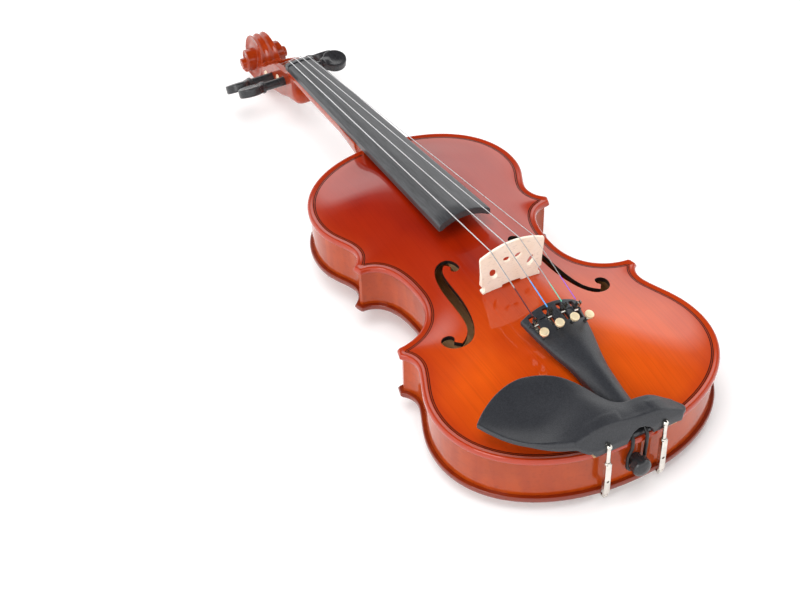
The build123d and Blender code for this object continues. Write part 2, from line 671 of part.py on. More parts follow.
def tail_shell():
    return loft([tail_section(TAIL_REAR - 2, 10, 4.6, 7.2), tail_section(66, 17, 6.6, 4.6),
                 tail_section(TAIL_FRONT + 2, TAIL_HALF, TAIL_DROP, TAIL_SHELL)], ruled=True)


def tuner_frame(index):
    """Origin at the screw's base on the tailpiece, Z along the screw, Y towards the bridge."""
    x = TUNER_X[index]
    height = tail_height(TUNER_Y) - 0.0135 * x * x
    return Location((x, TUNER_Y, height), (TUNER_LEAN, TUNER_FAN * x, 0))


def tuner_point(index, x, y, z):
    return (tuner_frame(index) * Pos(x, y, z)).position


def tuner_cuts(index):
    slot = box((-SLOT_HALF, SLOT_HALF), SLOT_ENDS, (-15, 10))
    hole = Cylinder(STEM_RADIUS + STEM_FIT, 24)
    y, z = LEVER_PIN
    pin_hole = rod((-3.4, y, z), (3.4, y, z), PIN_RADIUS + 0.02)
    return tuner_frame(index) * (slot + hole + pin_hole)


def lever_ears():
    """Bosses under the tailpiece that carry the lever pins."""
    ears = Part()
    y, z = LEVER_PIN
    for index in range(4):
        for side in (-1, 1):
            ear = box((SLOT_HALF, SLOT_HALF + 1.5), (y - 2, y + 2), (z - 1.6, z + 2.4))
            if side < 0:
                ear = box((-SLOT_HALF - 1.5, -SLOT_HALF), (y - 2, y + 2), (z - 1.6, z + 2.4))
            ears += tuner_frame(index) * ear
    return ears


def tailpiece():
    edges = [curve(c) for c in TAIL_EDGE] + [curve(mirrored(c)) for c in reversed(TAIL_EDGE)]
    plan = make_face(Curve() + edges)
    solid = tail_shell() & slab(plan, 40, 100)
    solid += lever_ears()
    for index in range(4):
        solid -= tuner_cuts(index)
    for side in (-1, 1):
        start, end = gut_ends(side)
        solid -= rod(start, end, GUT_RADIUS + 0.05)
        x, y, z = end
        solid -= rod((x, y + 2.6, z + 0.4), (x, y - 6, z - 5.5), GUT_RADIUS + 1.0)
    return solid


def tuner_lever(index):
    """A bent lever: arm under the screw, bush on the pin, forked tongue through the slot."""
    y, z = LEVER_PIN
    half = SLOT_HALF - 0.3
    arm = box((-half, half), (-1.8, y), (ARM_TOP - 1.4, ARM_TOP))
    bush = rod((-half, y, z), (half, y, z), 2.0)
    tongue = box((-half, half), (y - 1, y + 1.4), (z, 5.2))
    fork_gap = box((-0.75, 0.75), (y - 3, y + 4), (1.6, 8))
    lever = arm + bush + tongue - fork_gap
    lever -= rod((-5, y, z), (5, y, z), PIN_RADIUS + 0.05)
    return tuner_frame(index) * lever


def tuner_pins():
    y, z = LEVER_PIN
    pins = Part()
    for index in range(4):
        pins += tuner_frame(index) * rod((-SLOT_HALF - 1.5, y, z), (SLOT_HALF + 1.5, y, z), PIN_RADIUS)
    return pins


def tuner_stem(index):
    """The threaded screw: rounded tip on the lever's arm, stem up into the knob."""
    tip = ARM_TOP + 0.15
    stem = rod((0, 0, tip + STEM_RADIUS), (0, 0, KNOB_BASE + 1.4), STEM_RADIUS)
    stem += Pos(0, 0, tip + STEM_RADIUS) * Sphere(STEM_RADIUS)
    stem += rod((0, 0, 2.6), (0, 0, 3.6), 1.7)
    return tuner_frame(index) * stem


def tuner_knob(index):
    knob = rod((0, 0, KNOB_BASE), (0, 0, KNOB_BASE + KNOB_TALL), KNOB_RADIUS)
    knob -= rod((0, 0, KNOB_BASE - 1), (0, 0, KNOB_BASE + 1.45), STEM_RADIUS + STEM_FIT)
    return tuner_frame(index) * knob


# ---------------------------------------------------------------- saddle, tail gut and end button

def saddle():
    block = box((-SADDLE_HALF, SADDLE_HALF), SADDLE_Y, (TOP_GLUE, SADDLE_TOP))
    long_edges = block.edges().filter_by(Axis.X).group_by(Axis.Z)[-1]
    return fillet(long_edges, 1.6)


def end_button():
    """Shank in the block, waist for the gut and domed head, turned about Y."""
    shank = BUTTON_SHANK - 0.03
    profile = [Line((0, -22), (shank, -22)), Line((shank, -22), (shank, -RIB_IN)),
               Line((shank, -RIB_IN), (5, -RIB_IN)), Line((5, -RIB_IN), (4.7, 1.4)),
               Line((4.7, 1.4), (6.7, 2.6)), Line((6.7, 2.6), (6.7, 7.0)),
               Bezier((6.7, 7.0), (6.2, 9.2), (3.4, 10.4), (0, 10.6)), Line((0, 10.6), (0, -22))]
    plane = Plane(origin=(0, 0, BUTTON_Z), x_dir=(1, 0, 0), z_dir=(0, 0, 1))
    section = plane * Rot(180, 0, 0) * make_face(Curve() + profile)
    return revolve(section, Axis((0, 0, BUTTON_Z), (0, 1, 0)))


def gut_ends(side):
    """The straight stretch of gut inside the tailpiece."""
    return (side * GUT_HALF, 14.0, 61.0), (side * GUT_HALF, 4.4, 59.6)


def tail_gut():
    """One loop: out of the tailpiece, over the saddle, down round the button's waist and back."""
    waist_y, over = 0.1, -1.8
    inside_end, mouth = gut_ends(-1)
    points = [inside_end, mouth, (-GUT_HALF, over, 54.2), (-GUT_HALF, over, 47),
              (-6.5, waist_y, 37.0), (-6.5, waist_y, BUTTON_Z - 3.2), (-3.6, waist_y, BUTTON_Z - 6.6)]
    points += [(-x, y, z) for x, y, z in reversed(points)]
    radii = [3.0, 4.0, 8.0, 8.0, 2.4, 2.8]
    path = FilletPolyline(*points, radius=radii + radii[::-1])
    start = Plane(origin=path @ 0, z_dir=path % 0)
    return sweep(start * Circle(GUT_RADIUS), path=path)


# ---------------------------------------------------------------- chin rest and clamp

CHIN_EDGE = [                           # seen from above, round from the left tip along the tail side
    [(-90.7, 47.5), (-82, 28), (-66, 9.5), (-38, -1.4)],
    [(-38, -1.4), (-24, -2.4), (14, -2.2), (30, -1.6)],
    [(30, -1.6), (37.5, -1.2), (38.5, 3), (34, 7.5)],
    [(34, 7.5), (27, 14.5), (12, 17.5), (2, 17.5)],
    [(2, 17.5), (-8, 17.5), (-11.5, 24), (-15, 33)],
    [(-15, 33), (-21, 48), (-32, 60), (-50, 62.5)],
    [(-50, 62.5), (-66, 63.5), (-82, 57), (-90.7, 47.5)],
]


def crest(x):
    """Where the ridge along the tail side runs; the front face falls away from it."""
    return 5.6 - 0.07 * (x + 24) + 0.5 * max(-46 - x, 0.0)


def chin_top(x, y):
    """Top of the chin rest: low at the tail side's rim, dished, and humped over the tailpiece."""
    inwards = 0.754 * (x + 90.7) + 0.656 * (y - 47.5)
    rise = 68.5 + 8.5 * ease(0, 40, inwards) - 8.5 * ease(-30, 4, x)
    dish = -7.5 * math.exp(-(((x + 52) / 25) ** 2 + ((y - 35) / 18) ** 2))
    hump = 2.0 * math.exp(-((x - 6) / 18) ** 2 - ((y - 9) / 12) ** 2)
    fall = -8.0 * ease(14, 38, x)
    front = crest(x)
    apron = -(4.8 + 6.2 * ease(-50, -28, x)) * ease(front, front - 8.5, y)
    return rise + dish + hump + fall + apron


def chin_under(x, y):
    return chin_top(x, y) - CHIN_THICK


def foot_prism(ends, low, high):
    return box(ends, FEET_Y, (low, high))


def chin_rest():
    plan = make_face(Curve() + [curve(c) for c in CHIN_EDGE])
    top = surface(chin_top, *CHIN_REGION, CHIN_GRID)
    under = surface(chin_under, *CHIN_REGION, CHIN_GRID)
    dish = slab(plan, 45, CHIN_CEILING) - above(top)
    rest = dish - below(under, 60)
    for ends in FEET_X:
        rest += dish & foot_prism(ends, FOOT_Z, CHIN_CEILING)
    rest += dish & box(SKIRT_X, SKIRT_Y, (SKIRT_LOW, CHIN_CEILING))
    x, z = ARCH_MIDDLE
    rest -= rod((x, -10, z), (x, 2.4, z), ARCH_RADIUS)
    rest -= box(*TAIL_ROOM)
    for x in CLAMP_X:
        rest -= rod((x, -6, POST_PIN_Z), (x, 5.6, POST_PIN_Z), POST_WIRE)
    return rest


def chin_rest_cork():
    pads = Part()
    for ends in FEET_X:
        pads += foot_prism(ends, 48, FOOT_Z)
    return pads - below(OUTER_TOP)


def clamp_posts():
    """Two bent wires: a pin into the chin rest and a leg down into each barrel."""
    posts = Part()
    for x in CLAMP_X:
        posts += rod((x, CLAMP_Y, 36), (x, CLAMP_Y, POST_PIN_Z), POST_WIRE)
        posts += Pos(x, CLAMP_Y, POST_PIN_Z) * Sphere(POST_WIRE)
        posts += rod((x, CLAMP_Y, POST_PIN_Z), (x, 5.5, POST_PIN_Z), POST_WIRE - 0.02)
    return posts


def clamp_barrel(x):
    low, high = BARREL_Z
    barrel = Pos(x, CLAMP_Y, (low + high) / 2) * Box(2 * BARREL_HALF, 2 * BARREL_HALF, high - low)
    barrel = chamfer(barrel.edges().filter_by(Axis.Z), 0.5)
    barrel -= rod((x, CLAMP_Y, 34), (x, CLAMP_Y, high + 1), POST_WIRE + BORE_FIT)
    barrel -= rod((x, CLAMP_Y, low - 1), (x, CLAMP_Y, 26), FOOT_ROD + BORE_FIT)
    barrel -= rod((x, CLAMP_Y - 5, 29.5), (x, CLAMP_Y + 5, 29.5), 0.9)
    return barrel


def clamp_foot():
    """A strip under the back, with two stepped arms that come up outside the edge to the rods."""
    left, right = CLAMP_X
    low = FOOT_TOP - FOOT_THICK
    foot = box((left, right + 4), (4.0, 10.5), (low, FOOT_TOP))
    for x in CLAMP_X:
        plan = polygon([(x - 1.3, CLAMP_Y - 1.3), (x + 1.5, CLAMP_Y - 1.3), (x + 4.6, -0.4),
                        (x + 4.6, 0.6), (x + 1.4, 0.6), (x - 1.3, CLAMP_Y + 1.3)])
        foot += slab(plan, ARM_HIGH - FOOT_THICK, ARM_HIGH)
        foot += box((x + 1.4, x + 4.6), (-0.6, 0.6), (low, ARM_HIGH))
        foot += box((x + 1.4, x + 4.6), (-0.6, 4.5), (low, FOOT_TOP))
        foot += rod((x, CLAMP_Y, ARM_HIGH - 0.3), (x, CLAMP_Y, 25), FOOT_ROD)
    return foot


def clamp_foot_cork():
    left, right = CLAMP_X
    pad = box((left, right + 4), (4.2, 10.5), (FOOT_TOP, 12))
    return pad - Pos(0, 0, -0.1) * above(OUTER_BACK)


# ---------------------------------------------------------------- everything

PARTS = {}


def make_parts():
    PARTS["purfling_top"] = purfling_top()
    PARTS["purfling_back"] = purfling_back()
    PARTS["top_plate"] = top_plate()
    PARTS["back_plate"] = back_plate()
    ribs()
    blocks()
    linings()
    PARTS["bass_bar"] = bass_bar()
    PARTS["sound_post"] = sound_post()
    PARTS["neck"] = neck()
    PARTS["fingerboard"] = fingerboard()
    PARTS["nut"] = nut()
    PARTS["saddle"] = saddle()
    PARTS["end_button"] = end_button()
    PARTS["tail_gut"] = tail_gut()
    PARTS["bridge"] = bridge()
    PARTS["tailpiece"] = tailpiece()
    PARTS["tuner_pins"] = tuner_pins()
    for index, letter in enumerate(STRINGS):
        place, side = PEG_SIDE[letter]
        PARTS[f"peg_{letter}"] = peg(place, side, PEG_TURN[letter])
        PARTS[f"string_{letter}"] = string(letter, index)
        PARTS[f"string_coil_{letter}"] = string_coil(letter, index)
        PARTS[f"tuner_lever_{letter}"] = tuner_lever(index)
        PARTS[f"tuner_stem_{letter}"] = tuner_stem(index)
        PARTS[f"tuner_knob_{letter}"] = tuner_knob(index)
    PARTS["chin_rest"] = chin_rest()
    PARTS["chin_rest_cork"] = chin_rest_cork()
    PARTS["clamp_posts"] = clamp_posts()
    PARTS["clamp_barrel_left"] = clamp_barrel(CLAMP_X[0])
    PARTS["clamp_barrel_right"] = clamp_barrel(CLAMP_X[1])
    PARTS["clamp_foot"] = clamp_foot()
    PARTS["clamp_foot_cork"] = clamp_foot_cork()


def export_parts():
    os.makedirs("parts", exist_ok=True)
    seat = Pos(*REST_SHIFT) * Rot(REST_TILT, 0, 0)
    for name, solid in PARTS.items():
        export_step(seat * solid, f"parts/{name}.step")


make_parts()
export_parts()
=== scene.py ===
"""Looks of the violin, built round its CAD frame."""

import math

import bpy
import numpy as np
from mathutils import Matrix, Vector, geometry


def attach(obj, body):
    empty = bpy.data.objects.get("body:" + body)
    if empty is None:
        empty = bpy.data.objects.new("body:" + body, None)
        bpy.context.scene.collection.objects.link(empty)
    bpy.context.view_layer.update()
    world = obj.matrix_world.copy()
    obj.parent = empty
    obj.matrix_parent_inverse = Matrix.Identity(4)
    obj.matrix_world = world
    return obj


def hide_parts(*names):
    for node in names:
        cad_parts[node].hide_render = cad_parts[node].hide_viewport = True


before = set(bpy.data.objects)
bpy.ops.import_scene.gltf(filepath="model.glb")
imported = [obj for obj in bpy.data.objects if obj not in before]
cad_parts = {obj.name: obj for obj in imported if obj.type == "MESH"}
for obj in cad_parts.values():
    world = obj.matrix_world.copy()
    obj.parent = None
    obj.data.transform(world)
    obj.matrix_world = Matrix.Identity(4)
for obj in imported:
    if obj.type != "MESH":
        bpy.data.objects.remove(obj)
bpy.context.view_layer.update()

# Shapes are written in the violin's own millimetres: X across (treble side positive), Y from the tail
# towards the scroll, Z from back to front. to_row() lays them on the floor, in metres, where the CAD is.
TILT = math.radians(2.21)
SHIFT = np.array((0.0, -289.27, -3.51))
LAY = np.array(((1, 0, 0), (0, math.cos(TILT), -math.sin(TILT)), (0, math.sin(TILT), math.cos(TILT))))

# ---- body ----
BACK_GLUE, TOP_GLUE, EDGE = 15.0, 46.0, 4.0
TOP_RISE, BACK_RISE, PLATE = 15.5, 15.0, 3.0
BODY_LONG, BUTTON_RADIUS = 356.0, 10.5
RIM_WALL = (1.4, 2.4)                   # straight part of the plates' rim, above the glue plane
RIM_ROUND, BEAD, CHANNEL = 1.5, 4.8, 4.6  # rounding, height of the raised edge, where it has fallen away
UNDER_ROUND = 0.9
ARCH_WIDE = (65, 39, 52)                # how far in the arch reaches: lower bout, waist, upper bout
RINGS = (0.12, 0.35, 0.7, 1.1, 1.5, 2.1, 2.9, 3.7, 4.6, 6.0)
PURFLING = (4.4, 4.95, 5.65, 6.2)       # dark, pale and dark strip, from the edge
SADDLE_CUT = ((-11.6, 11.6), (2.0, 7.5))
HEEL_CUT = ((-14.3, 14.3), (347, 359))
PURFLING_GAP = ((-15, 15), (340, 360))  # where the fingerboard and heel hide the top's edge

# ---- neck and head ----
NUT_Y, NUT_Z = 487.0, 43.5
SLOPE = math.radians(5.85)
BOARD_LONG, BOARD_NARROW, BOARD_WIDE = 270.0, 24.0, 42.0
BOARD_RADIUS, BOARD_EDGE, BOARD_HOLLOW, HOLLOW_FROM = 42.0, 5.0, 36.6, 150.0
NUT_LONG, NUT_PROUD = 5.5, 0.9
HEAD_TILT = math.radians(24.75)
PEG_START = (498.8, 28.0)
PEG_STEP, SHAFT_RADIUS, PEG_FIT = 15.45, 3.7, 0.05
PEG_REACH = {0: 12.0, 1: 11.3, 2: 10.7, 3: 10.0}
EYE = (71.8, 9.6)
PEG_COLLAR, PEG_COLLAR_OUT = 4.9, 30.6  # radius, and how far out along the peg
THUMB_RADIUS, THUMB_HALF, THUMB_OUT = 10.2, 3.7, 42.0
DISH_RADIUS = 25.0                      # hollow in each cheek of the thumb piece
HANDLE_END, HEEL_FRONT, HEEL_ROUND = 129.0, 347.0, 354.0

# ---- strings and tuners ----
NUT_SPACING, BRIDGE_SPACING = 5.5, 11.3
BRIDGE_X, BRIDGE_Y, BRIDGE_TOP = 1.0, 157.3, 99.1
BRIDGE_FOOT, BRIDGE_CROWN = 4.5, 1.8
STRING_GAP = 0.09
STRINGS = {"g": 0.42, "d": 0.39, "a": 0.34, "e": 0.26}
PEG_SIDE = {"g": (0, -1), "d": (2, -1), "a": (3, 1), "e": (1, 1)}
PEG_TURN = {"g": 62.0, "d": 56.0, "a": 50.0, "e": -80.0}
SILK = {"g": (0.10, 0.012, 0.016), "d": (0.09, 0.38, 0.86), "a": (0.16, 0.62, 0.45), "e": (0.33, 0.10, 0.78)}
SILK_LONG = {"g": 24.0, "d": 22.0, "a": 15.0, "e": 20.0}  # coloured stretch next to the tuner
TAIL_REAR, TAIL_FRONT = 2.5, 109.4
TAIL_TOP_REAR, TAIL_TOP_FRONT = 65.0, 81.4
TUNER_X = (-16.0, -5.3, 5.3, 16.0)
TUNER_Y, TUNER_FAN, TUNER_LEAN = 88.0, 0.75, 18.0
LEVER_PIN, STRING_END = (11.6, -3.4), (16.2, 3.2)  # in a tuner's own frame
KNOB_BASE, KNOB_TALL, KNOB_RADIUS = 5.6, 2.6, 3.2
CLAMP_X, CLAMP_Y, POST_PIN_Z = (-25.2, 17.2), -3.8, 60.2
BARREL_HALF, BARREL_Z = 2.2, (18.0, 46.5)
BARREL_BORES = (1.35, 1.55)             # for the foot's wires from below and the posts from above
TURN_HOLE, TURN_HOLE_Z = 0.9, 29.5      # across the barrel
BARREL_COLLAR, COLLAR_FROM = 2.0, 40.0
POST_BEND, POST_DIMPLE = 2.0, 0.85
EAR_GAP, EAR_THICK, EAR_HALF = 2.65, 0.75, 2.0  # the ears that hold a lever's pin
SCREW_BORE, PIN_BORE, GUT_BORE, GUT_MOUTH = 1.25, 0.62, 1.3, 2.25
GUT_HALF, COIL_LONG = 5.4, 4.4          # half the gap between the loop's runs; width of a string's turns
SLOT_HALF, SLOT_MIDDLE, SLOT_REACH = 1.9, 10.9, 7.3  # half width, middle and half length of a tuner's slot
POST_WIRE, POST_LOW, PIN_END = 1.5, 36.0, 5.5  # wire radius, foot of its leg, end of its pin in the chin rest

# ---- chin rest ----
CHIN_THICK = 4.6
FEET_X, FEET_Y, FOOT_Z = ((-33.0, -13.0), (12.0, 30.0)), (0.6, 9.5), 52.0
SKIRT_X, SKIRT_BACK, SKIRT_LOW = (-33.0, 31.0), 2.4, 53.0
ARCH_RADIUS, ARCH_Z = 10.0, 52.6        # opening for the gut
TAIL_ROOM = ((-13, 12), (2.4, 30), 67.8)  # left free for the tailpiece: X, Y and its ceiling


def chain(start, steps):
    """Curves end to end. A step is a straight line's end, or a Bezier curve's two handles and its end."""
    curves = []
    for step in steps:
        curves.append([start, *step])
        start = step[-1]
    return curves


OUTLINE = chain((0, 0), [
    [(60, 0), (104, 31), (104, 76)],
    [(104, 98), (95, 110), (90.3, 124)],
    [(88.3, 130.5), (89.5, 137), (95.2, 141.2)],
    [(93.4, 148.2)],
    [(72, 149.5), (55.5, 165), (55.5, 190)],
    [(55.5, 213), (60.5, 231), (78.6, 230.4)],
    [(80.8, 236.8)],
    [(74.6, 241), (71.8, 247.5), (72.8, 254)],
    [(75, 265.5), (84, 272), (84, 291)],
    [(84, 328), (50, 356), (0, 356)],
])
F_HOLE = chain((21.4, 190.5), [
    [(21.4, 199.5), (26.5, 203.5), (31.5, 202.2)],
    [(38.4, 200.5), (40.2, 188), (41, 176)],
    [(42, 160), (42.2, 147), (45, 138.5)],
    [(46.6, 133.5), (49.8, 129.5), (55, 127)],
    [(61.3, 135.5)],
    [(65.9, 135.5)],
    [(66.2, 127.5), (59, 122.6), (51.6, 124)],
    [(43, 126), (38, 140), (35.6, 156)],
    [(33.8, 168), (34.6, 182), (33.4, 190)],
    [(32.8, 194), (31.5, 197), (28.6, 198.2)],
    [(24.5, 190.5)],
    [(21.4, 190.5)],
])
F_EYES = [((24.5, 190.5), 3.1), ((61.3, 135.5), 4.6)]
CHIN_EDGE = chain((-90.7, 47.5), [
    [(-82, 28), (-66, 9.5), (-38, -1.4)],
    [(-24, -2.4), (14, -2.2), (30, -1.6)],
    [(37.5, -1.2), (38.5, 3), (34, 7.5)],
    [(27, 14.5), (12, 17.5), (2, 17.5)],
    [(-8, 17.5), (-11.5, 24), (-15, 33)],
    [(-21, 48), (-32, 60), (-50, 62.5)],
    [(-66, 63.5), (-82, 57), (-90.7, 47.5)],
])
BRIDGE_EDGE = chain((0, 63.4), [        # right half, from the middle of the arch over the feet to the crown
    [(7.4, 63.0)],
    [(8.2, 50)],
    [(22.6, 50)],
    [(22.9, 62)],
    [(21.2, 63)],
    [(21.4, 66.6)],
    [(23.8, 67.6)],
    [(24.4, 79.5), (25.2, 85.5), (25.4, 90.5)],
    [(25.4, 92.5), (24.6, 93.4), (23.4, 93.3)],
    [(16, 97.1), (8, BRIDGE_TOP), (0, BRIDGE_TOP)],
])
BRIDGE_HOLES = [(4.5, 84.8, 14, 2.8, 2.0), (14.8, 76.0, 65, 4.4, 2.6)]  # x, z, turn, half axes
TAIL_EDGE = chain((0, TAIL_REAR), [
    [(8.6, TAIL_REAR)],
    [(8.8, 30), (9.4, 52), (14, 68)],
    [(17, 78.5), (19.5, 92), (21.9, 108.4)],
    [(15, 109), (7, TAIL_FRONT), (0, TAIL_FRONT)],
])


# ---- plane geometry ----

def to_row(points):
    return (np.asarray(points, float) @ LAY.T + SHIFT) * 0.001


def sampled(curves, spacing):
    """Points along a chain of Bezier curves, about spacing apart."""
    points = []
    for c in curves:
        p = np.array(c, float)
        if len(p) == 2:
            count = max(1, round(np.linalg.norm(p[1] - p[0]) / spacing))
            t = np.linspace(0, 1, count, endpoint=False)[:, None]
            points.append(p[0] * (1 - t) + p[1] * t)
            continue
        fine = np.linspace(0, 1, 200)[:, None]
        early, late = 3 * fine * (1 - fine) ** 2, 3 * fine**2 * (1 - fine)
        q = p[0] * (1 - fine) ** 3 + p[1] * early + p[2] * late + p[3] * fine**3
        run = np.concatenate(([0], np.cumsum(np.linalg.norm(np.diff(q, axis=0), axis=1))))
        count = max(1, round(run[-1] / spacing))
        at = np.linspace(0, run[-1], count, endpoint=False)
        points.append(np.stack([np.interp(at, run, q[:, 0]), np.interp(at, run, q[:, 1])], 1))
    return np.concatenate(points)


def both_halves(curves, spacing):
    """A closed loop, counterclockwise, from a right half that starts and ends on the middle line."""
    right = sampled(curves, spacing)
    last = np.array([curves[-1][-1]], float)
    return np.concatenate([right, last, right[:0:-1] * [-1, 1]])


def circle(centre, radius, spacing):
    angle = np.linspace(0, 2 * math.pi, max(8, round(2 * math.pi * radius / spacing)), endpoint=False)
    return np.stack([centre[0] + radius * np.cos(angle), centre[1] + radius * np.sin(angle)], 1)


def rectangle(x, y, spacing=1.5):
    corners = [(x[0], y[0]), (x[1], y[0]), (x[1], y[1]), (x[0], y[1])]
    return sampled([[a, b] for a, b in zip(corners, corners[1:] + corners[:1])], spacing)


def nearest(points, loop, chunk=4000):
    """Distance from each point to a closed loop, and the unit direction away from it."""
    ab = np.roll(loop, -1, 0) - loop
    square = np.maximum((ab**2).sum(1), 1e-12)
    far, way = [], []
    for start in range(0, len(points), chunk):
        p = points[start:start + chunk]
        ap = p[:, None] - loop[None]
        t = np.clip((ap * ab).sum(2) / square, 0, 1)
        gap = ap - t[..., None] * ab
        reach = (gap**2).sum(2)
        best = reach.argmin(1)
        row = np.arange(len(p))
        far.append(np.sqrt(reach[row, best]))
        way.append(gap[row, best])
    far, way = np.concatenate(far), np.concatenate(way)
    return far, way / np.maximum(far, 1e-9)[:, None]


def inside(points, loop, chunk=4000):
    """Which of the points lie in a closed loop."""
    a, b = loop, np.roll(loop, -1, 0)
    rise = np.where(a[:, 1] == b[:, 1], 1e-12, b[:, 1] - a[:, 1])
    found = []
    for start in range(0, len(points), chunk):
        x, y = points[start:start + chunk].T
        spans = (a[:, 1] > y[:, None]) != (b[:, 1] > y[:, None])
        cross = a[:, 0] + (y[:, None] - a[:, 1]) * (b[:, 0] - a[:, 0]) / rise
        found.append(((spans & (cross > x[:, None])).sum(1) % 2) == 1)
    return np.concatenate(found)


def inward(loop):
    """Unit normals pointing into a counterclockwise loop."""
    along = np.roll(loop, -1, 0) - np.roll(loop, 1, 0)
    normal = np.stack([-along[:, 1], along[:, 0]], 1)
    return normal / np.linalg.norm(normal, axis=1)[:, None]


def rings_inside(loop, distances, thin_from=2.0):
    """Copies of a loop moved inwards, without the points that a corner has swallowed."""
    normal = inward(loop)
    rings = []
    for distance in distances:
        step = 2 if distance > thin_from else 1
        ring = (loop + normal * distance)[::step]
        far, _ = nearest(ring, loop)
        rings.append(ring[far > distance - 0.02])
    return rings


def triangles(loops, points, keep):
    """Delaunay triangles between the loops' edges and the loose points, where keep(centres) says so."""
    coords, edges = [], []
    for loop in loops:
        first, count = len(coords), len(loop)
        coords += [Vector(p) for p in loop.tolist()]
        edges += [(first + i, first + (i + 1) % count) for i in range(count)]
    coords += [Vector(p) for p in points.tolist()]
    made = geometry.delaunay_2d_cdt(coords, edges, [], 0, 1e-6)
    xy = np.array([v[:] for v in made[0]])
    tri = np.array(made[2])
    a, b, c = xy[tri[:, 0]], xy[tri[:, 1]], xy[tri[:, 2]]
    area = (b[:, 0] - a[:, 0]) * (c[:, 1] - a[:, 1]) - (b[:, 1] - a[:, 1]) * (c[:, 0] - a[:, 0])
    tri[area < 0] = tri[area < 0][:, ::-1]
    tri = tri[(np.abs(area) > 1e-7) & keep(xy[tri].mean(1))]
    used, tri = np.unique(tri, return_inverse=True)
    return xy[used], tri.reshape(-1, 3)


def honeycomb(x, y, step):
    """Points of a triangular grid over a rectangle."""
    along_row = np.arange(x[0], x[1], step)
    grid = []
    for i, row in enumerate(np.arange(y[0], y[1], step * 0.866)):
        shift = step / 2 if i % 2 else 0
        grid.append(np.stack([along_row + shift, np.full(len(along_row), row)], 1))
    return np.concatenate(grid)


# ---- mesh making ----

def unit(vectors):
    return vectors / np.maximum(np.linalg.norm(vectors, axis=-1, keepdims=True), 1e-9)


def add_piece(name, points, faces, materials, body="violin", replaces=(),
              face_material=None, corner_normals=None, point_normals=None, sharp=None, values=None):
    """A mesh from points in violin millimetres, riding on a body."""
    mesh = bpy.data.meshes.new(name)
    mesh.from_pydata(to_row(points).tolist(), [], [list(map(int, f)) for f in faces])
    for material in materials if isinstance(materials, (list, tuple)) else [materials]:
        mesh.materials.append(material)
    if face_material is not None:
        mesh.polygons.foreach_set("material_index", np.asarray(face_material, np.int32))
    mesh.polygons.foreach_set("use_smooth", np.ones(len(mesh.polygons), bool))
    for label, numbers in (values or {}).items():
        attribute = mesh.attributes.new(label, "FLOAT", "POINT")
        attribute.data.foreach_set("value", np.asarray(numbers, np.float32))
    mesh.update()
    if corner_normals is not None:
        mesh.normals_split_custom_set((unit(corner_normals) @ LAY.T).tolist())
    elif point_normals is not None:
        mesh.normals_split_custom_set_from_vertices((unit(point_normals) @ LAY.T).tolist())
    elif sharp is not None:
        mesh.set_sharp_from_angle(angle=math.radians(sharp))
    obj = bpy.data.objects.new(name, mesh)
    bpy.context.scene.collection.objects.link(obj)
    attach(obj, body)
    if replaces:
        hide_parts(*replaces)
    return obj


def rim_edges(tri):
    """Directed edges that only one triangle has."""
    edges = np.concatenate([tri[:, [0, 1]], tri[:, [1, 2]], tri[:, [2, 0]]])
    big = tri.max() + 1
    code = edges[:, 0] * big + edges[:, 1]
    back = edges[:, 1] * big + edges[:, 0]
    return edges[~np.isin(code, back)]


def wall_normals(xy, edges):
    """Outward normals at both ends of each rim edge, smooth round curves and sharp at corners."""
    way = xy[edges[:, 1]] - xy[edges[:, 0]]
    flat = unit(np.stack([way[:, 1], -way[:, 0]], 1))
    into = {int(b): i for i, b in enumerate(edges[:, 1])}
    out = {int(a): i for i, a in enumerate(edges[:, 0])}
    ends = np.repeat(flat[:, None], 2, 1)
    for i, (a, b) in enumerate(edges):
        for end, other in ((0, into.get(int(a), i)), (1, out.get(int(b), i))):
            if flat[i] @ flat[other] > 0.7:
                ends[i, end] = unit(flat[i] + flat[other])
    return ends


def slab(xy, tri, upper, lower, upper_normal, lower_normal):
    """Points, faces and corner normals of a closed plate between two heights over one triangulation."""
    count = len(xy)
    points = np.concatenate([np.column_stack([xy, upper]), np.column_stack([xy, lower])])
    edges = rim_edges(tri)
    faces = tri.tolist() + (tri[:, ::-1] + count).tolist()
    faces += [[b, a, a + count, b + count] for a, b in edges.tolist()]
    ends = wall_normals(xy, edges)
    level = np.zeros((len(edges), 2, 3))
    level[:, :, :2] = ends
    walls = level[:, [1, 0, 0, 1]].reshape(-1, 3)
    over, under = upper_normal[tri], lower_normal[tri[:, ::-1]]
    normals = np.concatenate([over.reshape(-1, 3), under.reshape(-1, 3), walls])
    return points, faces, normals, edges


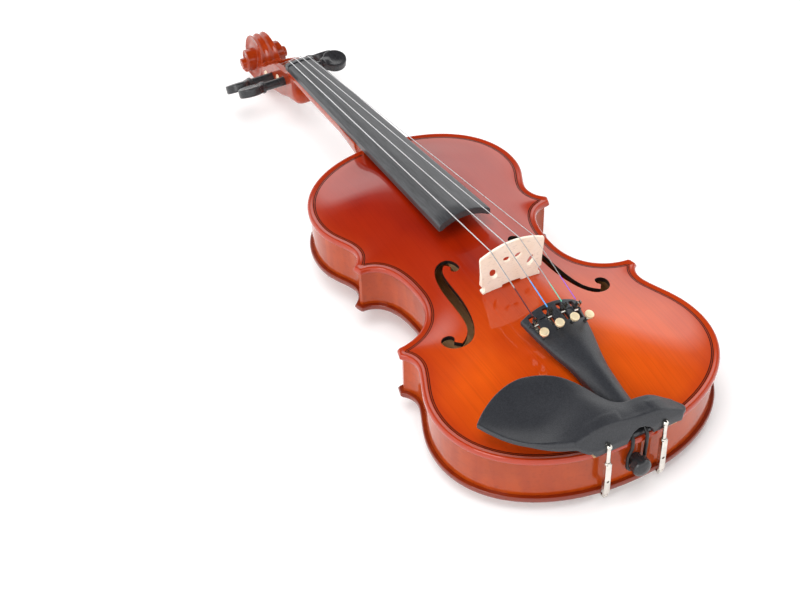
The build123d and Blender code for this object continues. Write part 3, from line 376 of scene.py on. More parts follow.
def carve(field, low, high, step):
    """The surface where field(x, y, z) is zero, as quads whose points are moved exactly onto it."""
    axes = [np.arange(a, b + step, step) for a, b in zip(low, high)]
    value = field(axes[0][:, None, None], axes[1][None, :, None], axes[2][None, None, :])
    value = np.broadcast_to(value, [len(a) for a in axes])
    solid = value < 0
    nx, ny, nz = (n - 1 for n in value.shape)
    corners = [(i, j, k) for i in (0, 1) for j in (0, 1) for k in (0, 1)]
    filled = sum(solid[i:nx + i, j:ny + j, k:nz + k].astype(np.int8) for i, j, k in corners)
    cells = np.argwhere((filled > 0) & (filled < 8))
    number = np.full((nx, ny, nz), -1)
    number[tuple(cells.T)] = np.arange(len(cells))
    at = {c: value[cells[:, 0] + c[0], cells[:, 1] + c[1], cells[:, 2] + c[2]] for c in corners}
    total, hits = np.zeros((len(cells), 3)), np.zeros(len(cells))
    for a in corners:
        for axis in range(3):
            if a[axis]:
                continue
            b = tuple(1 if i == axis else a[i] for i in range(3))
            crosses = (at[a] < 0) != (at[b] < 0)
            gap = np.where(crosses, at[a] - at[b], 1)
            t = np.clip(at[a] / gap, 0, 1)
            where = np.repeat(np.array(a, float)[None], len(cells), 0)
            where[:, axis] += t
            total += where * crosses[:, None]
            hits += crosses
    points = np.array([a[0] for a in axes]) + (cells + total / hits[:, None]) * step
    quads = []
    for axis in range(3):
        one, two = [i for i in range(3) if i != axis]
        first = solid.take(range(value.shape[axis] - 1), axis)
        second = solid.take(range(1, value.shape[axis]), axis)
        edge = np.argwhere(first != second)
        for side in (one, two):
            edge = edge[(edge[:, side] > 0) & (edge[:, side] < (nx, ny, nz)[side])]
        starts = first[tuple(edge.T)]
        around = []
        for da, db in ((-1, -1), (0, -1), (0, 0), (-1, 0)):
            cell = edge.copy()
            cell[:, one] += da
            cell[:, two] += db
            around.append(number[tuple(cell.T)])
        quad = np.stack(around, 1)
        flip = starts if axis == 1 else ~starts
        quad[flip] = quad[flip][:, ::-1]
        quads.append(quad)
    quads = np.concatenate(quads)

    def slope(p, h=0.12):
        x, y, z = p.T
        return np.stack([(field(x + h, y, z) - field(x - h, y, z)), (field(x, y + h, z) - field(x, y - h, z)),
                         (field(x, y, z + h) - field(x, y, z - h))], 1) / (2 * h)

    for _ in range(3):
        g = slope(points)
        away = field(*points.T)[:, None] * g / np.maximum((g**2).sum(1), 0.05)[:, None]
        far = np.linalg.norm(away, axis=1, keepdims=True)
        points = points - away * np.minimum(1, step * 0.6 / np.maximum(far, 1e-9))
    diagonal = np.cross(points[quads[:, 2]] - points[quads[:, 0]], points[quads[:, 3]] - points[quads[:, 1]])
    mean = np.zeros_like(points)
    for corner in range(4):
        np.add.at(mean, quads[:, corner], diagonal)
    mean = unit(mean)
    exact = unit(slope(points))
    agree = (mean * exact).sum(1)
    blend = np.clip((agree - 0.90) / 0.07, 0, 1)[:, None]
    return points, quads, exact * blend + mean * (1 - blend)


def carved_piece(name, field, low, high, step, material, node):
    """A field's surface in place of one CAD node."""
    points, faces, normals = carve(field, low, high, step)
    add_piece(name, points, faces, material, replaces=[node], point_normals=normals)


def loft(rings):
    """Quads between equal rings of points, with flat ends."""
    count = len(rings[0])
    faces = []
    for i in range(len(rings) - 1):
        for j in range(count):
            k = (j + 1) % count
            faces.append([i * count + j, i * count + k, (i + 1) * count + k, (i + 1) * count + j])
    faces.append(list(range(count))[::-1])
    faces.append([(len(rings) - 1) * count + j for j in range(count)])
    return np.concatenate(rings), faces


def tube(path, radius, sides=12):
    """A round tube along points, with its frame carried along so that it doesn't twist."""
    path = np.asarray(path, float)
    radius = np.broadcast_to(radius, len(path))
    way = unit(np.gradient(path, axis=0))
    side = unit(np.cross(way[0], (0.3, 0.1, 1.0)))
    rings = []
    angle = np.linspace(0, 2 * math.pi, sides, endpoint=False)
    for p, w, r in zip(path, way, radius):
        side = unit(side - w * (side @ w))
        other = np.cross(w, side)
        rings.append(p + r * (np.cos(angle)[:, None] * side + np.sin(angle)[:, None] * other))
    return loft(rings)


# ---- smooth joins of fields ----

def smin(a, b, k):
    """The smaller of two fields, blended where they differ by less than k."""
    h = np.clip(0.5 + 0.5 * (b - a) / k, 0, 1)
    return b * (1 - h) + a * h - k * h * (1 - h)


def smax(a, b, k):
    return -smin(-a, -b, k)


def ease(low, high, value):
    t = np.clip((value - low) / (high - low), 0.0, 1.0)
    return t * t * (3 - 2 * t)


def smooth_table(x, y, steps=24):
    """A dense table through points, with no corners in it."""
    x, y = np.array(x, float), np.array(y, float)
    slope = np.gradient(y, x)
    xs, ys = [], []
    for i in range(len(x) - 1):
        t = np.linspace(0, 1, steps, endpoint=False)
        wide = x[i + 1] - x[i]
        ys.append((2 * t**3 - 3 * t**2 + 1) * y[i] + (t**3 - 2 * t**2 + t) * wide * slope[i]
                  + (3 * t**2 - 2 * t**3) * y[i + 1] + (t**3 - t**2) * wide * slope[i + 1])
        xs.append(x[i] + wide * t)
    xs, ys = np.concatenate(xs + [x[-1:]]), np.concatenate(ys + [y[-1:]])
    return lambda value: np.interp(value, xs, ys)


def plan_distance(x, y, loop):
    """Signed distance to a loop seen from above, negative inside."""
    x, y = np.broadcast_arrays(np.asarray(x, float), np.asarray(y, float))
    p = np.stack([x.ravel(), y.ravel()], 1)
    far, _ = nearest(p, loop)
    return np.where(inside(p, loop), -far, far).reshape(x.shape)


# ---- materials ----

def new_material(name):
    material = bpy.data.materials.new(name)
    material.use_nodes = True
    tree = material.node_tree
    return material, tree, tree.nodes["Principled BSDF"]


def make(tree, kind, settings=None, **inputs):
    node = tree.nodes.new(kind)
    for key, value in (settings or {}).items():
        setattr(node, key, value)
    for key, value in inputs.items():
        plug(tree, node.inputs[key.replace("_", " ")], value)
    return node


def plug(tree, socket, value):
    if isinstance(value, bpy.types.NodeSocket):
        tree.links.new(value, socket)
    else:
        socket.default_value = value


def rgba(colour):
    return (*colour, 1.0)


def mix(tree, factor, a, b, blend="MIX"):
    node = tree.nodes.new("ShaderNodeMix")
    node.data_type, node.blend_type = "RGBA", blend
    plug(tree, node.inputs[0], factor)
    for socket, value in ((node.inputs[6], a), (node.inputs[7], b)):
        plug(tree, socket, value if isinstance(value, bpy.types.NodeSocket) else rgba(value))
    return node.outputs[2]


def minus(tree, a, b):
    node = make(tree, "ShaderNodeMath", {"operation": "SUBTRACT"})
    plug(tree, node.inputs[0], a)
    plug(tree, node.inputs[1], b)
    return node.outputs[0]


def ramp(tree, factor, stops):
    node = tree.nodes.new("ShaderNodeValToRGB")
    plug(tree, node.inputs[0], factor)
    while len(node.color_ramp.elements) < len(stops):
        node.color_ramp.elements.new(0.5)
    for element, (place, colour) in zip(node.color_ramp.elements, stops):
        element.position = place
        element.color = rgba(colour) if not np.isscalar(colour) else (colour, colour, colour, 1)
    return node.outputs[0]


def spread(tree, value, low, high):
    """value from low..high to 0..1."""
    return make(tree, "ShaderNodeMapRange", Value=value, From_Min=low, From_Max=high).outputs[0]


def place(tree, scale):
    """Object coordinates in metres, scaled per axis."""
    coordinates = tree.nodes.new("ShaderNodeTexCoord").outputs["Object"]
    return make(tree, "ShaderNodeMapping", Vector=coordinates, Scale=scale).outputs[0]


def noise(tree, scale, detail=3.0, roughness=0.55, distortion=0.0):
    return make(tree, "ShaderNodeTexNoise", Vector=place(tree, scale), Scale=1.0, Detail=detail,
                Roughness=roughness, Distortion=distortion).outputs[0]


def bump(tree, shader, height, strength, distance):
    node = make(tree, "ShaderNodeBump", Height=height, Strength=strength, Distance=distance)
    tree.links.new(node.outputs[0], shader.inputs["Normal"])


def stored(tree, label):
    """A number that the mesh holds for each point."""
    return make(tree, "ShaderNodeAttribute", {"attribute_name": label}).outputs["Fac"]


def axis_value(tree, axis):
    coordinates = tree.nodes.new("ShaderNodeTexCoord").outputs["Object"]
    return make(tree, "ShaderNodeSeparateXYZ", Vector=coordinates).outputs[axis]


def lacquer(shader, gloss=0.04, coat=1.0, tint=(1.0, 0.93, 0.88)):
    shader.inputs["Coat Weight"].default_value = coat
    shader.inputs["Coat Roughness"].default_value = gloss
    shader.inputs["Coat IOR"].default_value = 1.52
    shader.inputs["Coat Tint"].default_value = rgba(tint)
    shader.inputs["Specular IOR Level"].default_value = 0.08


def top_wood():
    """Spruce under thick orange lacquer: fine straight grain, redder towards the neck, and painted shade that
    darkens it towards the edge in place of the dark reflections there.
    """
    material, tree, shader = new_material("top_varnish")
    grain = noise(tree, (820, 5, 30), 4, 0.6)
    broad = noise(tree, (22, 9, 9), 3)
    along = spread(tree, axis_value(tree, 1), -0.29, 0.06)
    tail = ramp(tree, broad, [(0.3, (0.50, 0.050, 0.001)), (0.7, (0.68, 0.098, 0.001))])
    head = ramp(tree, broad, [(0.3, (0.23, 0.006, 0.001)), (0.7, (0.33, 0.014, 0.001))])
    blend = ramp(tree, along, [(0.26, 0.0), (0.52, 0.9), (1.0, 1.0)])
    colour = mix(tree, blend, tail, head)
    lines = ramp(tree, grain, [(0.35, 0.80), (0.55, 1.0)])
    colour = mix(tree, 0.55, colour, mix(tree, 1.0, colour, lines, "MULTIPLY"))
    # Painted shade: the colour darkens towards the edge, standing in for the dark reflections on the rounded
    # edge.
    from_edge = spread(tree, stored(tree, "edge"), 0.0, 0.040)
    rim = ramp(tree, from_edge, [(0.0, 1.0), (0.09, 0.80), (0.35, 0.30), (1.0, 0.0)])
    colour = mix(tree, rim, colour, (0.36, 0.028, 0.003))
    tree.links.new(colour, shader.inputs["Base Color"])
    plug(tree, shader.inputs["Roughness"], spread(tree, broad, -1.5, 3.0))
    bump(tree, shader, grain, 0.05, 0.0002)
    lacquer(shader)
    return material


def maple(name, light, dark, painted_edge_shade=None, band=150, flame=0.5, coat=1.0):
    """Maple under red-brown lacquer, with its curl as soft bands square to the grain; a given edge colour is
    painted shade that darkens it towards the edge.
    """
    material, tree, shader = new_material(name)
    curl = noise(tree, (14, band, 14), 2, 0.5, 0.6)
    fine = noise(tree, (420, 30, 420), 4, 0.6)
    broad = noise(tree, (18, 12, 24), 3)
    colour = mix(tree, ramp(tree, curl, [(0.38, 0.0), (0.62, 1.0)]), dark, light)
    colour = mix(tree, flame, mix(tree, 0.5, dark, light), colour)
    shade = ramp(tree, broad, [(0.3, 0.80), (0.7, 1.08)])
    colour = mix(tree, 1.0, colour, shade, "MULTIPLY")
    flecks = ramp(tree, fine, [(0.32, 0.74), (0.48, 1.0)])
    colour = mix(tree, 0.5, colour, mix(tree, 1.0, colour, flecks, "MULTIPLY"))
    # Painted shade: darker towards the edge in the given colour, standing in for dark reflections on the
    # rounded edge.
    if painted_edge_shade:
        from_edge = spread(tree, stored(tree, "edge"), 0.0, 0.040)
        rim = ramp(tree, from_edge, [(0.0, 0.9), (0.10, 0.6), (0.45, 0.15), (1.0, 0.0)])
        colour = mix(tree, rim, colour, painted_edge_shade)
    tree.links.new(colour, shader.inputs["Base Color"])
    plug(tree, shader.inputs["Roughness"], spread(tree, broad, -1.5, 3.0))
    bump(tree, shader, fine, 0.04, 0.0002)
    lacquer(shader, coat=coat)
    return material


def plain_wood(name, light, dark, scale, rough=0.62):
    """Bare wood: grain, pores and a dry surface."""
    material, tree, shader = new_material(name)
    grain = noise(tree, scale, 5, 0.62, 0.4)
    pores = noise(tree, tuple(s * 3.1 for s in scale), 3, 0.7)
    colour = ramp(tree, grain, [(0.30, dark), (0.68, light)])
    flecks = ramp(tree, pores, [(0.34, 0.80), (0.44, 1.0)])
    colour = mix(tree, 1.0, colour, flecks, "MULTIPLY")
    tree.links.new(colour, shader.inputs["Base Color"])
    plug(tree, shader.inputs["Roughness"], spread(tree, grain, 1.6 - rough * 3.0, 1.6))
    bump(tree, shader, grain, 0.15, 0.0002)
    return material


def black_wood(name, tone, rough, scale=(900, 30, 900), gloss=0.5):
    """Dyed black wood: faint grain, fine pores, a hand-rubbed sheen."""
    material, tree, shader = new_material(name)
    grain = noise(tree, scale, 4, 0.65)
    cloud = noise(tree, (30, 14, 30), 3)
    light = tuple(t * 1.5 for t in tone)
    colour = ramp(tree, grain, [(0.35, tuple(t * 0.72 for t in tone)), (0.65, light)])
    tree.links.new(colour, shader.inputs["Base Color"])
    plug(tree, shader.inputs["Roughness"], ramp(tree, cloud, [(0.3, rough * 0.9), (0.7, rough * 1.15)]))
    bump(tree, shader, grain, 0.10, 0.00015)
    shader.inputs["Specular IOR Level"].default_value = gloss
    return material


def black_plastic():
    """Moulded plastic with a fine spark-eroded grain."""
    material, tree, shader = new_material("moulded_black")
    grain = noise(tree, (1500, 1500, 1500), 2, 0.6)
    cloud = noise(tree, (40, 40, 40), 3)
    colour = ramp(tree, grain, [(0.3, (0.010, 0.0105, 0.013)), (0.7, (0.028, 0.030, 0.036))])
    tree.links.new(colour, shader.inputs["Base Color"])
    plug(tree, shader.inputs["Roughness"], ramp(tree, cloud, [(0.3, 0.36), (0.7, 0.46)]))
    bump(tree, shader, grain, 0.5, 0.0003)
    shader.inputs["Specular IOR Level"].default_value = 0.55
    return material


def metal(name, colour, rough, worn, scale=(260, 260, 260), metallic=1.0):
    """Plated metal: fine scratches and duller patches."""
    material, tree, shader = new_material(name)
    scratch = noise(tree, scale, 5, 0.7)
    cloud = noise(tree, (150, 150, 150), 3)
    tree.links.new(ramp(tree, cloud, [(0.3, worn), (0.6, colour)]), shader.inputs["Base Color"])
    plug(tree, shader.inputs["Roughness"], ramp(tree, scratch, [(0.3, rough * 0.7), (0.7, rough * 1.5)]))
    bump(tree, shader, scratch, 0.04, 0.0001)
    shader.inputs["Metallic"].default_value = metallic
    return material


def string_metal(letter):
    """Wound metal, with coloured silk over the last stretch before the tuner."""
    material, tree, shader = new_material(f"string_{letter}_wire")
    end = SILK_LONG[letter]
    silk = spread(tree, stored(tree, "from_tuner"), end + 1, end - 1)
    winding = make(tree, "ShaderNodeTexWave", {"bands_direction": "Y"}, Vector=place(tree, (1, 1, 1)),
                   Scale=1500.0, Distortion=0.0).outputs["Fac"]
    steel = ramp(tree, winding, [(0.2, (0.52, 0.52, 0.53)), (0.8, (0.80, 0.80, 0.81))])
    thread = ramp(tree, winding, [(0.2, tuple(c * 0.65 for c in SILK[letter])), (0.8, SILK[letter])])
    tree.links.new(mix(tree, silk, steel, thread), shader.inputs["Base Color"])
    plug(tree, shader.inputs["Metallic"], minus(tree, 1.0, silk))
    rough = make(tree, "ShaderNodeMapRange", Value=silk, To_Min=0.28, To_Max=0.6).outputs[0]
    plug(tree, shader.inputs["Roughness"], rough)
    bump(tree, shader, winding, 0.3, 0.00005)
    return material


def cork():
    material, tree, shader = new_material("cork_pad")
    cells = make(tree, "ShaderNodeTexVoronoi", Vector=place(tree, (900, 900, 900)), Scale=1.0)
    cloud = noise(tree, (300, 300, 300), 4)
    colour = ramp(tree, cloud, [(0.3, (0.34, 0.19, 0.09)), (0.7, (0.62, 0.42, 0.24))])
    speck = ramp(tree, cells.outputs["Distance"], [(0.1, 0.65), (0.5, 1.0)])
    tree.links.new(mix(tree, 1.0, colour, speck, "MULTIPLY"), shader.inputs["Base Color"])
    shader.inputs["Roughness"].default_value = 0.85
    bump(tree, shader, cells.outputs["Distance"], 0.4, 0.0003)
    return material


def bridge_maple():
    """Pale maple with short dark flecks."""
    material, tree, shader = new_material("bridge_maple")
    fleck = noise(tree, (260, 500, 1500), 3, 0.6)
    cloud = noise(tree, (60, 60, 60), 3)
    colour = ramp(tree, cloud, [(0.3, (0.90, 0.79, 0.64)), (0.7, (0.95, 0.87, 0.75))])
    marks = ramp(tree, fleck, [(0.30, 0.72), (0.42, 1.0)])
    tree.links.new(mix(tree, 1.0, colour, marks, "MULTIPLY"), shader.inputs["Base Color"])
    plug(tree, shader.inputs["Roughness"], ramp(tree, cloud, [(0.3, 0.45), (0.7, 0.58)]))
    bump(tree, shader, fleck, 0.12, 0.0001)
    return material


TOP = top_wood()
# The last colour is painted shade that darkens the back towards its edge.
BACK = maple("back_varnish", (0.50, 0.085, 0.010), (0.24, 0.022, 0.004), (0.16, 0.014, 0.003), band=130,
             flame=0.75)
RIB = maple("rib_varnish", (0.46, 0.066, 0.003), (0.30, 0.032, 0.002), band=120, flame=0.35, coat=0.7)
NECK = maple("neck_varnish", (0.44, 0.050, 0.004), (0.25, 0.018, 0.002), band=170, flame=0.45, coat=0.8)
INSIDE = plain_wood("inside_wood", (0.95, 0.66, 0.36), (0.78, 0.48, 0.22), (420, 14, 120))
F_EDGE = black_wood("f_hole_edge", (0.012, 0.008, 0.007), 0.35)
PURFLING_DARK = black_wood("purfling_dark", (0.006, 0.001, 0.001), 0.55, gloss=0.1)
PURFLING_PALE = maple("purfling_pale", (0.34, 0.035, 0.003), (0.22, 0.018, 0.002), flame=0.2, coat=0.5)
EBONY = black_wood("board_black", (0.034, 0.035, 0.038), 0.30)
PEG_SHAFT = plain_wood("peg_shaft_wood", (0.86, 0.70, 0.52), (0.66, 0.48, 0.32), (30, 700, 700))
PEG_BLACK = black_wood("peg_black", (0.020, 0.020, 0.022), 0.26, (900, 60, 900))
PLASTIC = black_plastic()
GUT = black_wood("gut_black", (0.004, 0.004, 0.005), 0.45, (500, 500, 500))
NICKEL = metal("bright_nickel", (0.76, 0.73, 0.67), 0.18, (0.62, 0.59, 0.54))
BRASS = metal("brass_knob", (0.98, 0.82, 0.55), 0.42, (0.92, 0.72, 0.44), (500, 500, 500), metallic=0.6)
CORK = cork()
BRIDGE = bridge_maple()


def wear(material, *nodes):
    """Gives carried-over CAD nodes their material."""
    for name in nodes:
        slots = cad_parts[name].data.materials
        slots.clear()
        slots.append(material)


# ---- arching and plates ----

BOUNDARY = both_halves(OUTLINE, 1.2)


def fullness(xy, chunk=6000):
    """0 at the edge of the plates, 1 on the flat of the arch."""
    lower, waist, upper = ARCH_WIDE
    after = np.roll(BOUNDARY, -1, 0)
    middle, length = (BOUNDARY + after) / 2, np.linalg.norm(after - BOUNDARY, axis=1)
    full = []
    for start in range(0, len(xy), chunk):
        p = xy[start:start + chunk]
        square = (p[:, None, 0] - middle[:, 0]) ** 2 + (p[:, None, 1] - middle[:, 1]) ** 2
        depth = (0.5 * (length / (square * np.sqrt(square) + 1e-9)).sum(1)) ** -0.5
        y = p[:, 1]
        wide = lower + (waist - lower) * ease(110, 190, y) + (upper - waist) * ease(190, 262, y)
        full.append((1 - np.cos(math.pi * np.minimum(depth / wide, 1))) / 2)
    return np.concatenate(full)


def arch(xy, far):
    """Fullness and its slope."""
    h = 0.6
    full = fullness(xy)
    slope = np.zeros_like(xy)
    deep = far > 1.6
    p = xy[deep]
    slope[deep, 0] = (fullness(p + [h, 0]) - fullness(p - [h, 0])) / (2 * h)
    slope[deep, 1] = (fullness(p + [0, h]) - fullness(p - [0, h])) / (2 * h)
    full[far < 0.8] = 0
    return full, slope


def rim_height(far):
    """Height of the outside over the glue plane near the edge: rounding, raised bead, channel."""
    s = np.clip(1 - far / RIM_ROUND, 0, 1)
    round_part = RIM_WALL[1] + (BEAD - RIM_WALL[1]) * np.sqrt(1 - s**2)
    fall = np.clip((far - RIM_ROUND) / (CHANNEL - RIM_ROUND), 0, 1)
    return np.where(far < RIM_ROUND, round_part, EDGE + (BEAD - EDGE) * (1 + np.cos(math.pi * fall)) / 2)


def under_height(far):
    s = np.clip(1 - far / UNDER_ROUND, 0, 1)
    return RIM_WALL[0] * (1 - np.sqrt(1 - s**2))


def steep(profile, far, h=0.01):
    low = np.maximum(far - h, 0)
    return (profile(far + h) - profile(low)) / (far + h - low)


def plate_surfaces(xy, far, way, rise):
    """Outer and inner height over the glue plane, with the slopes of both."""
    full, slope = arch(xy, far)
    outer = rim_height(far) + (rise - EDGE) * full
    outer_slope = steep(rim_height, far)[:, None] * way + (rise - EDGE) * slope
    starts = ease(6.0, 8.5, far)
    inner = under_height(far) + (rise - PLATE) * full * starts
    inner_slope = steep(under_height, far)[:, None] * way + (rise - PLATE) * slope * starts[:, None]
    return outer, outer_slope, inner, inner_slope


def with_z(slope, z):
    return unit(np.column_stack([-slope, np.full(len(slope), z)]))


def edge_directions(xy, loop):
    """Distance to a loop and direction into it, right on the loop too."""
    far, way = nearest(xy, loop)
    close, normal = far < 1e-4, inward(loop)
    if close.any():
        gap = ((xy[close][:, None] - loop[None]) ** 2).sum(2)
        way[close] = normal[gap.argmin(1)]
        far[close] = 0
    return far, way


F_LOOPS = []
for side in (1, -1):
    blade = sampled(F_HOLE, 0.9) * [side, 1]
    F_LOOPS.append(blade[::-1] if side > 0 else blade)
    for (ex, ey), eye_radius in F_EYES:
        F_LOOPS.append(circle((side * ex, ey), eye_radius, 0.9))


def plate_points(loop, holes, step):
    """Loose points for a plate: rings along its rim, rings round the holes, and a honeycomb between."""
    parts = rings_inside(loop, RINGS)
    grid = honeycomb((-106, 106), (-2, 368), step)
    grid = grid[inside(grid, loop)]
    far, _ = nearest(grid, loop)
    grid = grid[far > RINGS[-1] + 1.2]
    for hole in holes:
        round_it = np.concatenate([hole + inward(hole) * d for d in (-1.3, 1.3, -0.35, 0.35)])
        far, _ = nearest(round_it, hole)
        parts.append(round_it[far > 0.34])
        far, _ = nearest(grid, hole)
        grid = grid[far > 1.9]
    return np.concatenate(parts + [grid])


def top_plate():
    loop = both_halves(OUTLINE, 1.4)
    cuts = [rectangle(*SADDLE_CUT), rectangle(*HEEL_CUT)]
    points = plate_points(loop, F_LOOPS, 2.7)

    def keep(centre):
        good = inside(centre, loop)
        for hole in F_LOOPS + cuts:
            good &= ~inside(centre, hole)
        return good

    xy, tri = triangles([loop] + F_LOOPS + cuts, points, keep)
    far, way = edge_directions(xy, loop)
    outer, outer_slope, inner, inner_slope = plate_surfaces(xy, far, way, TOP_RISE)
    near_hole = np.full(len(xy), 99.0)
    for hole in F_LOOPS:
        near_hole = np.minimum(near_hole, nearest(xy, hole)[0])
    on_rim = np.zeros(len(xy), bool)
    on_rim[rim_edges(tri).ravel()] = True
    outer = outer - 0.22 * (on_rim & (far > 3) & (near_hole < 0.1))
    shell, faces, normals, edges = slab(xy, tri, TOP_GLUE + outer, TOP_GLUE + inner,
                                        with_z(outer_slope, 1), -with_z(inner_slope, 1))
    under = np.where(far[tri].min(1) > 3.6, 1, 0)
    walls = np.where(far[edges].min(1) > 3, 2, 0)
    index = np.concatenate([np.zeros(len(tri), int), under, walls])
    add_piece("top_plate_wood", shell, faces, [TOP, INSIDE, F_EDGE],
              replaces=["top_plate"],
              face_material=index, corner_normals=normals, values={"edge": np.tile(far, 2) * 0.001})


def button_loop(spacing):
    """The back's outline with its button."""
    loop = both_halves(OUTLINE, spacing)
    centre = (0.0, BODY_LONG - 2)
    start = math.asin(1.9 / BUTTON_RADIUS)
    angle = np.linspace(start, math.pi - start, 26)
    arc = np.stack([centre[0] + BUTTON_RADIUS * np.cos(angle), centre[1] + BUTTON_RADIUS * np.sin(angle)], 1)
    hidden = (np.abs(loop[:, 0]) < BUTTON_RADIUS + 0.6) & (loop[:, 1] > 300)
    first = np.argmax(hidden)
    return np.concatenate([loop[:first], arc, loop[first + hidden.sum():]])


def back_plate():
    loop = button_loop(1.4)
    points = plate_points(loop, [], 3.0)
    xy, tri = triangles([loop], points, lambda centre: inside(centre, loop))
    far, way = edge_directions(xy, loop)
    outer, outer_slope, inner, inner_slope = plate_surfaces(xy, far, way, BACK_RISE)
    beyond = xy[:, 1] > BODY_LONG - 1
    outer_slope[beyond & (far > CHANNEL)] = 0
    shell, faces, normals, edges = slab(xy, tri, BACK_GLUE - inner, BACK_GLUE - outer,
                                        with_z(-inner_slope, 1), -with_z(-outer_slope, 1))
    inside_index = np.where(far[tri].min(1) > 3.6, 1, 0)
    index = np.concatenate([inside_index, np.zeros(len(tri) + len(edges), int)])
    add_piece("back_plate_wood", shell, faces, [BACK, INSIDE], replaces=["back_plate"],
              face_material=index, corner_normals=normals, values={"edge": np.tile(far, 2) * 0.001})


def purfling(name, node, glue, sign, rise, cuts):
    """Three thin strips let into the plate: dark, pale, dark."""
    loop = both_halves(OUTLINE, 0.8)
    rings = rings_inside(loop, PURFLING, thin_from=99)

    def keep(centre):
        far, _ = nearest(centre, loop)
        good = inside(centre, loop) & (far > PURFLING[0] - 0.01) & (far < PURFLING[-1] + 0.01)
        for cut in cuts:
            good &= ~inside(centre, cut)
        return good

    xy, tri = triangles(rings, np.zeros((0, 2)), keep)
    far, way = edge_directions(xy, loop)
    outer, slope, _, _ = plate_surfaces(xy, far, way, rise)
    height = glue + sign * (outer + 0.03)
    bed = glue + sign * (outer - 0.5)
    tilt = with_z(sign * slope, 1)
    upper, lower = (height, bed) if sign > 0 else (bed, height)
    shell, faces, normals, edges = slab(xy, tri, upper, lower, tilt, -tilt)
    middle, _ = nearest(xy[tri].mean(1), loop)
    pale = ((middle > PURFLING[1]) & (middle < PURFLING[2])).astype(int)
    index = np.concatenate([pale, pale, np.zeros(len(edges), int)])
    add_piece(name, shell, faces, [PURFLING_DARK, PURFLING_PALE], replaces=[node],
              face_material=index, corner_normals=normals, values={"edge": np.tile(far, 2) * 0.001})


# ---- neck, head, fingerboard and nut ----

def on_neck(along, across, up):
    """Points from the nut's front edge towards the bridge, across, and square to the neck's top."""
    along, across, up = np.broadcast_arrays(*(np.asarray(v, float) for v in (along, across, up)))
    y = NUT_Y - along * math.cos(SLOPE) + up * math.sin(SLOPE)
    z = NUT_Z + along * math.sin(SLOPE) + up * math.cos(SLOPE)
    return np.stack([across, y, z], -1)


def board_width(along):
    return BOARD_NARROW + (BOARD_WIDE - BOARD_NARROW) * along / BOARD_LONG


def head_point(along, above, across=0.0):
    y, z = PEG_START
    return np.array((across, y + along * math.cos(HEAD_TILT) + above * math.sin(HEAD_TILT),
                     z - along * math.sin(HEAD_TILT) + above * math.cos(HEAD_TILT)))


TURN_ANGLE = list(range(0, 901, 45)) + [1080]
TURN_RADIUS = smooth_table(TURN_ANGLE, (
    24.5, 24.6, 23.7, 22.8, 21.6, 20.2, 18.5, 16.6, 14.8, 13.5, 12.6,
    11.8, 11.0, 10.1, 9.1, 8.2, 7.4, 6.6, 5.9, 5.2, 4.8, 4.6))
TURN_HALF = smooth_table(TURN_ANGLE, (
    8.7, 7.9, 7.1, 6.6, 6.5, 7.2, 8.6, 10.3, 12.0, 13.2, 14.0,
    14.8, 15.6, 16.4, 17.2, 18.0, 18.7, 19.4, 20.0, 20.5, 20.9, 21.0))
BOX_BACK = smooth_table(
    (-19.5, -18.5, -17, -14.5, -12, -9, -6, 8, 20, 35, 50, 62, 72, 90),
    (-4, -9, -14.5, -18.6, -20.5, -21.2, -20.8, -16.6, -15.0, -13.5, -12.2, -12.8, -14.9, -20))
BOX_TOP = smooth_table((-22, -19.5, -4, 4, 14, 30, 50, 60, 72, 90),
                       (8.4, 8.4, 8.6, 10.8, 12.2, 11.0, 7.5, 9.4, 9.6, 9.6))
FLOOR = smooth_table((-12, -5, 12, 30, 50, 60), (-9, -13.2, -11.5, -9.5, -7, 0))
HEEL_REACH = smooth_table((5, 15, 22, 30, 37, 44, 52, 62), (19.6, 19.7, 20.4, 23.8, 30.5, 38, 44, 50))
FLUTE = 1.5


def volute(u, v, w):
    """Nested turns that step outwards as they wind in to the eye."""
    du, dv = u - EYE[0], v - EYE[1]
    r = np.hypot(du, dv)
    turn = np.mod(np.degrees(np.arctan2(dv, du)) - 270, 360)
    solid = None
    for lap in range(3):
        edge, half = TURN_RADIUS(turn + 360 * lap), TURN_HALF(turn + 360 * lap)
        inner = TURN_RADIUS(np.minimum(turn + 360 * (lap + 1), 1080))
        if lap == 0:
            share = np.clip(w / half, 0, 1)
            edge = edge - FLUTE * np.sin(math.pi * share) ** 2
        across = np.clip((edge - r) / np.maximum(edge - inner, 0.6), 0, 1)
        scooped = half - 1.1 * np.sin(math.pi * across) ** 2 * (1 if lap < 2 else 0)
        lap_solid = smax(r - edge, w - scooped, 0.7)
        solid = lap_solid if solid is None else smin(solid, lap_solid, 0.5)
    return solid


def pegbox(u, v, w):
    """The box's outside, fluted at the back."""
    half = 12.4 + (8.6 - 12.4) * (u + 20) / 92
    share = np.clip(w / half, 0, 1)
    flutes = FLUTE * np.sin(math.pi * share) ** 2 * ease(-4, 18, u)
    back = (BOX_BACK(u) + flutes - v) * 0.75
    round_chin = 2.0 + 8.0 * ease(20, -8, u)
    solid = smax(back, w - half, round_chin)
    solid = smax(solid, -19.6 - u, 1.0 + 5.0 * ease(2, -8, v))
    solid = smax(solid, v - BOX_TOP(u), 0.8)
    return smax(solid, u - 72, 0.5)


def cavity(u, v, w):
    """The trough that the pegs cross."""
    half = 7.6 + (5.2 - 7.6) * (u + 12) / 68
    return smax(smax(FLOOR(u) - v, w - half, 2.0), np.maximum(-9.5 - u, u - 53), 2.0)


